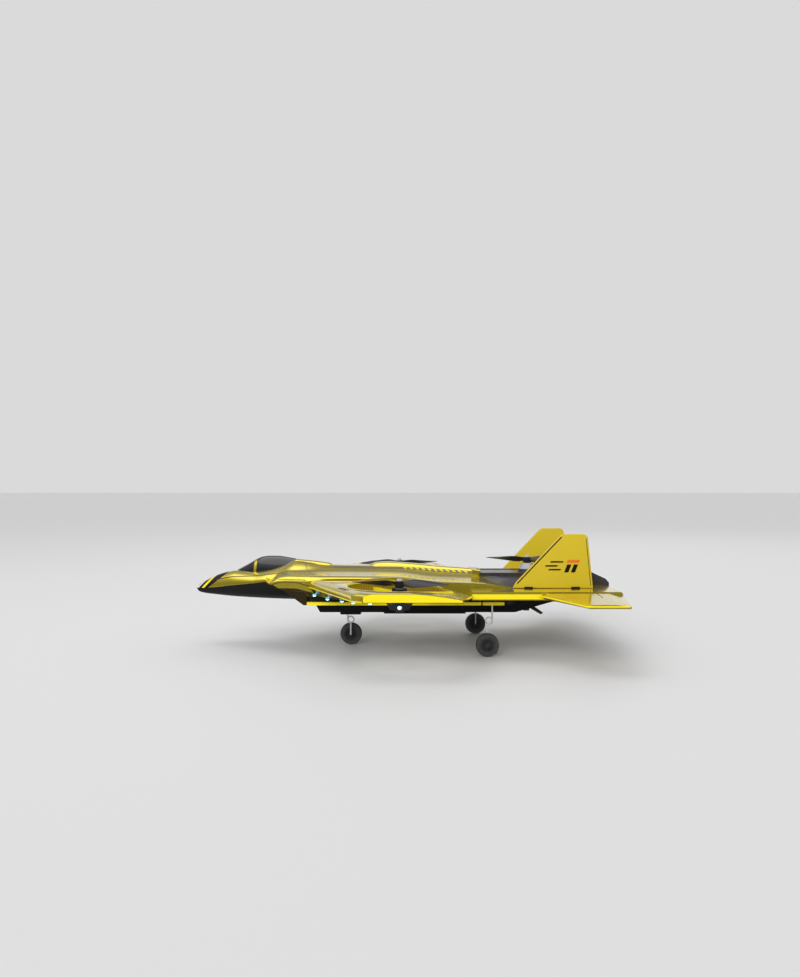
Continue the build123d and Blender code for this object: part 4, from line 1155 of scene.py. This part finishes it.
@dataclass
class Rotor:
    """A two-bladed rotor on its shaft.

    A blade is a lofted aerofoil: at each radius the section is an ellipse, thinner to the tip,
    turned by a pitch that falls off outwards and shifted back into a scimitar sweep.
    """

    name: str
    x: float
    y: float
    z: float
    heading: float
    hand: int
    reach: float = 12.1
    radius: float = 42.5

    def build(self) -> None:
        """Make blades, hub and nut."""
        body = f"{self.name}_rotor_body"
        for number, turn in enumerate((0.0, 180.0)):
            self._blade(f"{self.name}_blade_{number + 1}", math.radians(self.heading + turn), body)
        hub = [(0, -3.2), (3.6, -3.2), (4.1, -2.8), (4.2, -2.2), (4.0, 1.0), (3.6, 1.9), (3.0, 2.2),
               (0, 2.2)]
        turned(f"{self.name}_rotor_hub", hub, (self.x, self.y, self.z), "z", ROTOR, body=body,
               stands_for=(f"{self.name}_rotor",))
        nut = [(0, 2.15), (2.8, 2.15), (2.8, 3.0), (2.2, 3.9), (1.2, 4.2), (0, 4.2)]
        turned(f"{self.name}_rotor_nut", nut, (self.x, self.y, self.z), "z", LIGHT_GREY, 6, body=body)
        self._shaft(body)

    def _shaft(self, body: str) -> None:
        """The steel shaft below the hub, riding on the rotor's body."""
        foot = -self.reach
        shaft = [(0, foot), (0.9, foot), (1.0, foot + 0.1), (1.0, 2.3), (0, 2.3)]
        turned(f"{self.name}_rotor_pin", shaft, (self.x, self.y, self.z), "z", STEEL, 24, body=body,
               stands_for=(f"{self.name}_shaft",))

    def _blade(self, name: str, angle: float, body: str) -> None:
        """One blade as a loft of turned ellipses.

        Args:
            name: the piece's name.
            angle: where it points, in radians.
            body: the body that it rides on.
        """
        share = np.linspace(0.05, 1.0, 36)
        chord = BodyLine(((0.05, 5.0), (0.3, 12.4), (0.5, 12.4), (0.8, 9.4), (0.96, 5.6),
                          (1.0, 2.0))).at(share)
        thick = BodyLine(((0.08, 2.4), (0.3, 1.5), (1.0, 0.45))).at(share)
        pitch = np.radians(BodyLine(((0.05, 32), (0.3, 28), (0.6, 18), (1.0, 9))).at(share))[:, None]
        sweep = BodyLine(((0.08, 0), (0.35, 1.4), (0.7, 0.8), (1.0, -1.8))).at(share)
        turn = np.linspace(0, 2 * math.pi, 28, endpoint=False)[None]
        flat = chord[:, None] / 2 * np.cos(turn)
        high = thick[:, None] / 2 * np.sin(turn) + 0.06 * chord[:, None] * (1 - np.cos(turn) ** 2)
        side = (sweep * self.hand)[:, None] + flat * np.cos(pitch) - high * self.hand * np.sin(pitch)
        up = flat * np.sin(pitch) * self.hand + high * np.cos(pitch)
        out = np.broadcast_to(share[:, None] * self.radius, side.shape)
        x = self.x + out * math.cos(angle) - side * math.sin(angle)
        y = self.y + out * math.sin(angle) + side * math.cos(angle)
        loft(name, np.stack([x, y, self.z + up], -1), ROTOR, body=body)


# ------------------------------------------------------------------------------ tail


@dataclass
class Tail:
    """Fins with their seams and stripes, and the painted highlights along the stabilisers' edges."""

    fin_x: float = 60.8
    thickness: float = 3.0
    base: float = 60.9
    corners: tuple[tuple[float, float], ...] = (
        (99.4, 60.9), (101.2, 65.3), (143.7, 110.0), (167.0, 110.0), (171.8, 60.9))

    def build(self) -> None:
        """Make both sides of the tail."""
        outline = rounded(self.corners, (0.5, 3.0, 3.0, 4.5, 0.5))
        for side in Side:
            faces = side.span(self.fin_x - self.thickness / 2, self.fin_x + self.thickness / 2)
            plate(f"{side.word}_fin_skin", outline, *faces, "x", 0.6, FIN_YELLOW,
                  stands_for=(f"{side.word}_fin",))
            self._stripes(side)
            self._stabiliser(side)

    def _stabiliser(self, side: Side) -> None:
        """Bright strip round the stabiliser's front and tip edges, a painted highlight, and the scribed lines
        of its flap.

        The strip runs straight from (90.6, 119) to (155.7, 147) and along the tip; the lines lie on the
        top, which falls evenly from 60.1 at the root to 58.0 at the tip.

        Args:
            side: the plane's side.
        """
        def top(x: float) -> float:
            """Height of the stabiliser's top at a width."""
            return 60.1 - (x - 90) * 2.1 / 66 + 0.05

        corners = ((90.6, 119.0, 57.55), (155.6, 147.0, 56.5), (155.6, 181.5, 56.5))
        share = np.linspace(0, 1, 30)[:, None]
        runs = [np.array(a) + (np.array(b) - np.array(a)) * share for a, b in zip(corners, corners[1:])]
        strip = np.concatenate([runs[0], runs[1][1:]]) * (side.value, 1, 1)
        # painted highlight along the stabiliser's front and tip edges
        tube(f"{side.word}_stabiliser_strip", strip, 0.75, YELLOW_TRIM_AND_HIGHLIGHT, 12)
        ends = np.array([(side.value * x, 168.3, top(x)) for x in (92, 116)])
        tube(f"{side.word}_stabiliser_line", ends[:1] + (ends[1:] - ends[:1]) * share, 0.25, LINE_GREY, 8)

    def _stripes(self, side: Side) -> None:
        """Seams near the fin's edges, and a mark of speed bars with one orange bar.

        Args:
            side: the plane's side.
        """
        face = self.fin_x + self.thickness / 2
        near, far = side.span(face - 0.2, face + 0.12)
        bars = (
            ("seam_front", ((102.7, 65.5), (103.7, 65.0), (143.9, 107.3), (142.9, 107.8)), GASKET),
            ("seam_rear", ((169.4, 63.5), (170.0, 63.5), (165.8, 106.0), (165.2, 106.0)), LINE_GREY),
            ("bar_1", ((133.0, 84.2), (144.6, 84.2), (145.2, 85.6), (133.6, 85.6)), STRIPE_BLACK),
            ("bar_2", ((128.4, 80.6), (139.4, 80.6), (140.0, 82.0), (129.0, 82.0)), STRIPE_BLACK),
            ("bar_3", ((131.2, 77.2), (142.2, 77.2), (142.8, 78.6), (131.8, 78.6)), STRIPE_BLACK),
            ("bar_4", ((147.8, 84.2), (159.0, 84.2), (160.0, 86.8), (148.8, 86.8)), STRIPE_ORANGE),
            ("bar_5", ((145.6, 75.4), (149.4, 75.4), (152.2, 82.6), (148.4, 82.6)), STRIPE_BLACK),
            ("bar_6", ((151.6, 75.4), (155.4, 75.4), (158.2, 82.6), (154.4, 82.6)), STRIPE_BLACK),
        )
        for name, corners, finish in bars:
            plate(f"{side.word}_fin_{name}", rounded(corners, 0.25, 3), near, far, "x", 0.04, finish)


# ------------------------------------------------------------------------------ landing gear


@dataclass
class Wheel:
    """A foam tyre and the disc in its hub, on an axle along X."""

    name: str
    x: float
    y: float
    radius: float = 10.5
    width: float = 9.0
    rim: float = 6.2

    def build(self) -> None:
        """Make tyre and disc."""
        body = f"{self.name}_wheel"
        centre = (self.x, self.y, self.radius)
        half, outer, inner = self.width / 2, self.radius, self.rim
        crown = [(outer - 1.9 * (1 - math.cos(a)) ** 1.2, half * math.sin(a) * 0.98)
                 for a in np.linspace(-math.pi / 2, math.pi / 2, 25)]
        side_wall = [(outer - 2.3, half), (outer - 2.6, half - 0.45), (outer - 2.9, half),
                     (inner + 0.9, half), (inner + 0.6, half - 0.4), (inner + 0.3, half - 0.1),
                     (inner, half - 0.5)]
        profile = crown + side_wall + [(r, -h) for r, h in reversed(side_wall)]
        turned(f"{self.name}_tyre_foam", profile, centre, "x", FOAM, 96, body=body,
               stands_for=(f"{self.name}_tyre",))
        disc = [(2.0, -0.5), (5.3, -0.5), (5.5, -0.3), (5.5, 0.3), (5.3, 0.5), (2.0, 0.5)]
        turned(f"{self.name}_hub_disc", disc, centre, "x", HUB, 48, body=body)


@dataclass
class Gear:
    """The three wire legs, each with one turn of spring coil."""

    wire: float = 0.72
    coil: float = 3.0

    def build(self) -> None:
        """Make the legs and the nose gear's base."""
        for side in Side:
            s = side.value
            self._leg(side.word, (s * 59, 81, 47.5), (s * 59, 76, 10.5), s * 70.3, 31.5, s, -1)
        base = rounded(((-3.8, -60), (12.2, -60), (12.2, -40), (-3.8, -40)), 2.0)
        plate("nose_gear_base", base, 30.3, 34.5, "z", 0.6, BLACK, stands_for=("nose_gear_block",))
        self._leg("nose", (6.2, -53, 34.0), (6.2, -50, 10.5), -5.6, 25.0, 1, 1)

    def _leg(self, name: str, top: tuple[float, float, float], axle: tuple[float, float, float],
             axle_end: float, coil_z: float, lead: int, back: int) -> None:
        """One leg: straight down, round the coil, down to the axle's height and along it.

        The coil is a helix about X: y = c - back r cos t, z = coil_z - r sin t, and x grows with t.
        It makes one turn and a quarter, so the wire leaves it under its middle.

        Args:
            name: the leg's name.
            top: where the wire starts.
            axle: the wheel's middle.
            axle_end: the width where the axle ends.
            coil_z: height of the coil's middle.
            lead: 1 or -1, the way along X in which the coil grows.
            back: 1 or -1, the way along Y in which the coil lies.
        """
        x0, y0, z0 = top
        down = np.linspace(z0, coil_z, 20)[:, None] * (0, 0, 1) + (x0, y0, 0)
        t = np.linspace(0, 2.5 * math.pi, 60)[1:]
        pitch = 2.1 * self.wire * lead
        loop = np.stack([
            x0 + pitch * t / (2 * math.pi), y0 + back * self.coil * (1 - np.cos(t)),
            coil_z - self.coil * np.sin(t)], -1)
        x1 = loop[-1, 0]
        knee = np.array([x1, axle[1], coil_z - self.coil - 0.6])
        foot = np.array([x1, axle[1], axle[2]])
        end = np.array([axle_end, axle[1], axle[2]])
        run = np.concatenate([down, loop, self._bend(loop[-1], knee, foot, end)])
        tube(f"{name}_gear_wire", run, self.wire, STEEL, stands_for=(f"{name}_gear_leg",))
        stop = [(0, 0), (1.1, 0), (1.25, 0.2), (1.25, 0.8), (1.0, 1.0), (0, 1.0)]
        outward = 1 if axle_end > x0 else -1
        seat = (axle_end - outward * 0.4, axle[1], axle[2])
        turned(f"{name}_axle_stop", [(r, outward * h) for r, h in stop], seat, "x", HUB, 20)

    def _bend(self, start: Array, knee: Array, foot: Array, end: Array) -> Array:
        """A wire's path round two rounded corners.

        Args:
            start: the path's first point.
            knee: its first corner.
            foot: its second corner.
            end: its last point.

        Returns:
            Points of shape (n, 3).
        """
        parts = []
        t = np.linspace(0, 1, 10)[:, None]
        before = start
        for corner, after in ((knee, foot), (foot, end)):
            reach = min(1.4, 0.4 * np.linalg.norm(before - corner))
            enter = corner + (before - corner) / np.linalg.norm(before - corner) * reach
            leave = corner + (after - corner) / np.linalg.norm(after - corner) * reach
            parts.append(before + (enter - before) * np.linspace(0.1, 0.95, 6)[:, None])
            parts.append(enter * (1 - t) ** 2 + corner * 2 * t * (1 - t) + leave * t * t)
            before = leave
        parts.append(before + (end - before) * np.linspace(0.1, 1, 8)[:, None])
        return np.concatenate(parts)


# ------------------------------------------------------------------------------ frame parts


@dataclass
class FrameParts:
    """The frame's own parts that keep their shape and get their finish here."""

    # The intakes get the dark painted-shade finish: they lie in shadow under the wings.
    special: dict[str, Finish] = field(default_factory=lambda: {
        "engine_cover": COVER_GREY, "exhaust": COVER_GREY, "left_intake": INTAKE_PAINTED_SHADE,
        "right_intake": INTAKE_PAINTED_SHADE})
    finishes: dict[str, Finish] = field(default_factory=lambda: {finish.slot: finish for finish in (
        GOLD, FIN_YELLOW, YELLOW_TRIM_AND_HIGHLIGHT, SILVER, BLACK, DARK_GREY, LIGHT_GREY, SMOKE, LAMP, MOTOR, STEEL,
        ROTOR, FOAM, HUB, WRAP, BOARD)})

    def dress(self, frame: dict) -> None:
        """Give each node the finish of its material slot.
        """
        slots = {entry["node"]: entry["material_slot"] for entry in frame["record"]["subparts"]}
        for name, node in frame["nodes"].items():
            node.data.materials.clear()
            node.data.materials.append(self.special.get(name, self.finishes[slots[name]]).material())
            log.info("%s: %s", name, slots[name])


# ------------------------------------------------------------------------------ studio


@dataclass
class Studio:
    """Pale floor, soft lights and a level camera looking square at the left side, in metres."""

    floor_size: float = 60.0
    floor_tone: Colour = (0.84, 0.84, 0.85, 1)
    reflected_tone: Colour = (0.16, 0.16, 0.17, 1)
    pale: float = 0.70
    ambient: float = 0.5
    sky: float = 1.35
    behind: tuple[tuple[float, float], ...] = (
        (-0.1, 0.2), (0.02, 0.64), (0.2, 0.52), (0.45, 0.12), (0.66, 0.2), (0.84, 1.0), (1.0, 1.0))
    before: tuple[tuple[float, float], ...] = (
        (-0.1, 0.03), (0.3, 0.05), (0.55, 0.1), (0.75, 0.3), (0.9, 0.95), (1.0, 1.0))
    camera_x: float = 0.875
    camera_y: float = -0.0026
    camera_z: float = 0.1512
    lens: float = 33.16

    def build(self) -> None:
        """Make floor, world, lights and camera."""
        self._floor()
        self._world()
        self._light("key_softbox", (0.1, -0.3, 1.5), (0.0, 0.0, 0.0), 0.9, 4.0)
        self._daylight("side_daylight", (1.0, -0.35, 0.46), 1.9)
        self._light("back_softbox", (-1.6, 0.5, 1.5), (0.0, 0.0, 0.05), 1.0, 4.0)
        self._camera()
        bpy.context.scene.view_settings.view_transform = "Standard"

    def _floor(self) -> None:
        """A flat floor: pale to the camera and to soft light, darker in the plane's reflections."""
        mesh = bpy.data.meshes.new("studio_floor")
        half = self.floor_size / 2
        mesh.from_pydata([(-half, -half, 0), (half, -half, 0), (half, half, 0), (-half, half, 0)], [],
                         [(0, 1, 2, 3)])
        made = bpy.data.objects.new("studio_floor", mesh)
        bpy.context.scene.collection.objects.link(made)
        paint = bpy.data.materials.new("studio_floor")
        paint.use_nodes = True
        graph = Graph(paint.node_tree)
        shader = paint.node_tree.nodes["Principled BSDF"]
        fill(shader, Roughness=0.55)
        glossy = graph.node("ShaderNodeLightPath").outputs["Is Glossy Ray"]
        graph.link(graph.mixed(glossy, self.floor_tone, self.reflected_tone), shader, "Base Color")
        mesh.materials.append(paint)

    def _world(self) -> None:
        """Pale to the camera; in reflections dark, with a bright band low behind the plane and overhead."""
        world = bpy.data.worlds.new("studio_world")
        bpy.context.scene.world = world
        world.use_nodes = True
        graph = Graph(world.node_tree)
        split = graph.node("ShaderNodeSeparateXYZ")
        graph.link(graph.node("ShaderNodeTexCoord").outputs["Generated"], split, "Vector")
        side = graph.mapped(split.outputs["X"], 0.25, -0.25, 0.0, 1.0)
        other = graph.mapped(side, 0.0, 1.0, 1.0, 0.0)
        bands = graph.combined(
            "ADD", graph.combined("MULTIPLY", graph.ramp(split.outputs["Z"], self.behind), side),
            graph.combined("MULTIPLY", graph.ramp(split.outputs["Z"], self.before), other))
        path = graph.node("ShaderNodeLightPath")
        glossy = graph.combined("MULTIPLY", path.outputs["Is Glossy Ray"], bands)
        plain = graph.mapped(path.outputs["Is Camera Ray"], 0.0, 1.0, self.ambient, self.pale)
        matt = graph.mapped(path.outputs["Is Glossy Ray"], 0.0, 1.0, 1.0, 0.0)
        kept = graph.combined("MULTIPLY", matt, plain)
        bright = graph.mapped(glossy, 0.0, 1.0, 0.0, self.sky)
        background = world.node_tree.nodes["Background"]
        graph.link(graph.combined("ADD", bright, kept), background, "Strength")
        fill(background, Color=(1, 1, 1, 1))

    def _light(self, name: str, place: tuple[float, float, float], aim: tuple[float, float, float],
               size: float, power: float) -> None:
        """One square softbox that faces a point.

        Args:
            name: the light's name.
            place: where it hangs, in metres.
            aim: the point.
            size: its edge.
            power: its power in watts.
        """
        lamp = bpy.data.lights.new(name, "AREA")
        lamp.size = size
        lamp.energy = power
        self._hang(name, lamp, place, np.array(aim) - np.array(place))

    def _daylight(self, name: str, origin: tuple[float, float, float], power: float) -> None:
        """Soft parallel light.

        Args:
            name: the light's name.
            origin: the direction that it comes from.
            power: its strength.
        """
        lamp = bpy.data.lights.new(name, "SUN")
        lamp.energy = power
        lamp.angle = 0.7
        self._hang(name, lamp, (0.0, 0.0, 0.0), -np.array(origin))

    def _hang(self, name: str, lamp: bpy.types.Light, place: tuple[float, float, float],
              toward: Array) -> None:
        """Put a light in the scene, hidden from reflections.

        Args:
            name: the object's name.
            lamp: the light.
            place: where it hangs.
            toward: the direction in which it shines.
        """
        made = bpy.data.objects.new(name, lamp)
        made.location = place
        made.visible_glossy = False
        tilt = math.atan2(math.hypot(toward[0], toward[1]), -toward[2])
        made.rotation_euler = (tilt, 0, math.atan2(toward[1], toward[0]) - math.pi / 2)
        bpy.context.scene.collection.objects.link(made)

    def _camera(self) -> None:
        """A level camera square to the left side."""
        data = bpy.data.cameras.new("side_camera")
        data.lens = self.lens
        data.sensor_width = 36.0
        camera = bpy.data.objects.new("side_camera", data)
        camera.location = (self.camera_x, self.camera_y, self.camera_z)
        camera.rotation_euler = (math.pi / 2, 0, math.pi / 2)
        bpy.context.scene.collection.objects.link(camera)
        bpy.context.scene.camera = camera


# ------------------------------------------------------------------------------ assembly


def main() -> None:
    """Load the frame, then make and dress the plane's pieces in order."""
    logging.basicConfig(level=logging.INFO, format="%(name)s: %(message)s")
    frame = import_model()
    FrameParts().dress(frame)
    Fuselage().build()
    for side in Side:
        Wing(side).build()
    Rotor("left", 110, -3, 70.5, 78, 1).build()
    Rotor("right", -110, -3, 70.5, 102, -1).build()
    Rotor("rear", 0, 121, 82.6, 65, 1, 8.0).build()
    Tail().build()
    Gear().build()
    for name, x, y in (("left", 65, 76), ("right", -65, 76), ("nose", 0, -50)):
        Wheel(name, x, y).build()
    Studio().build()


if __name__ == "__main__":
    main()
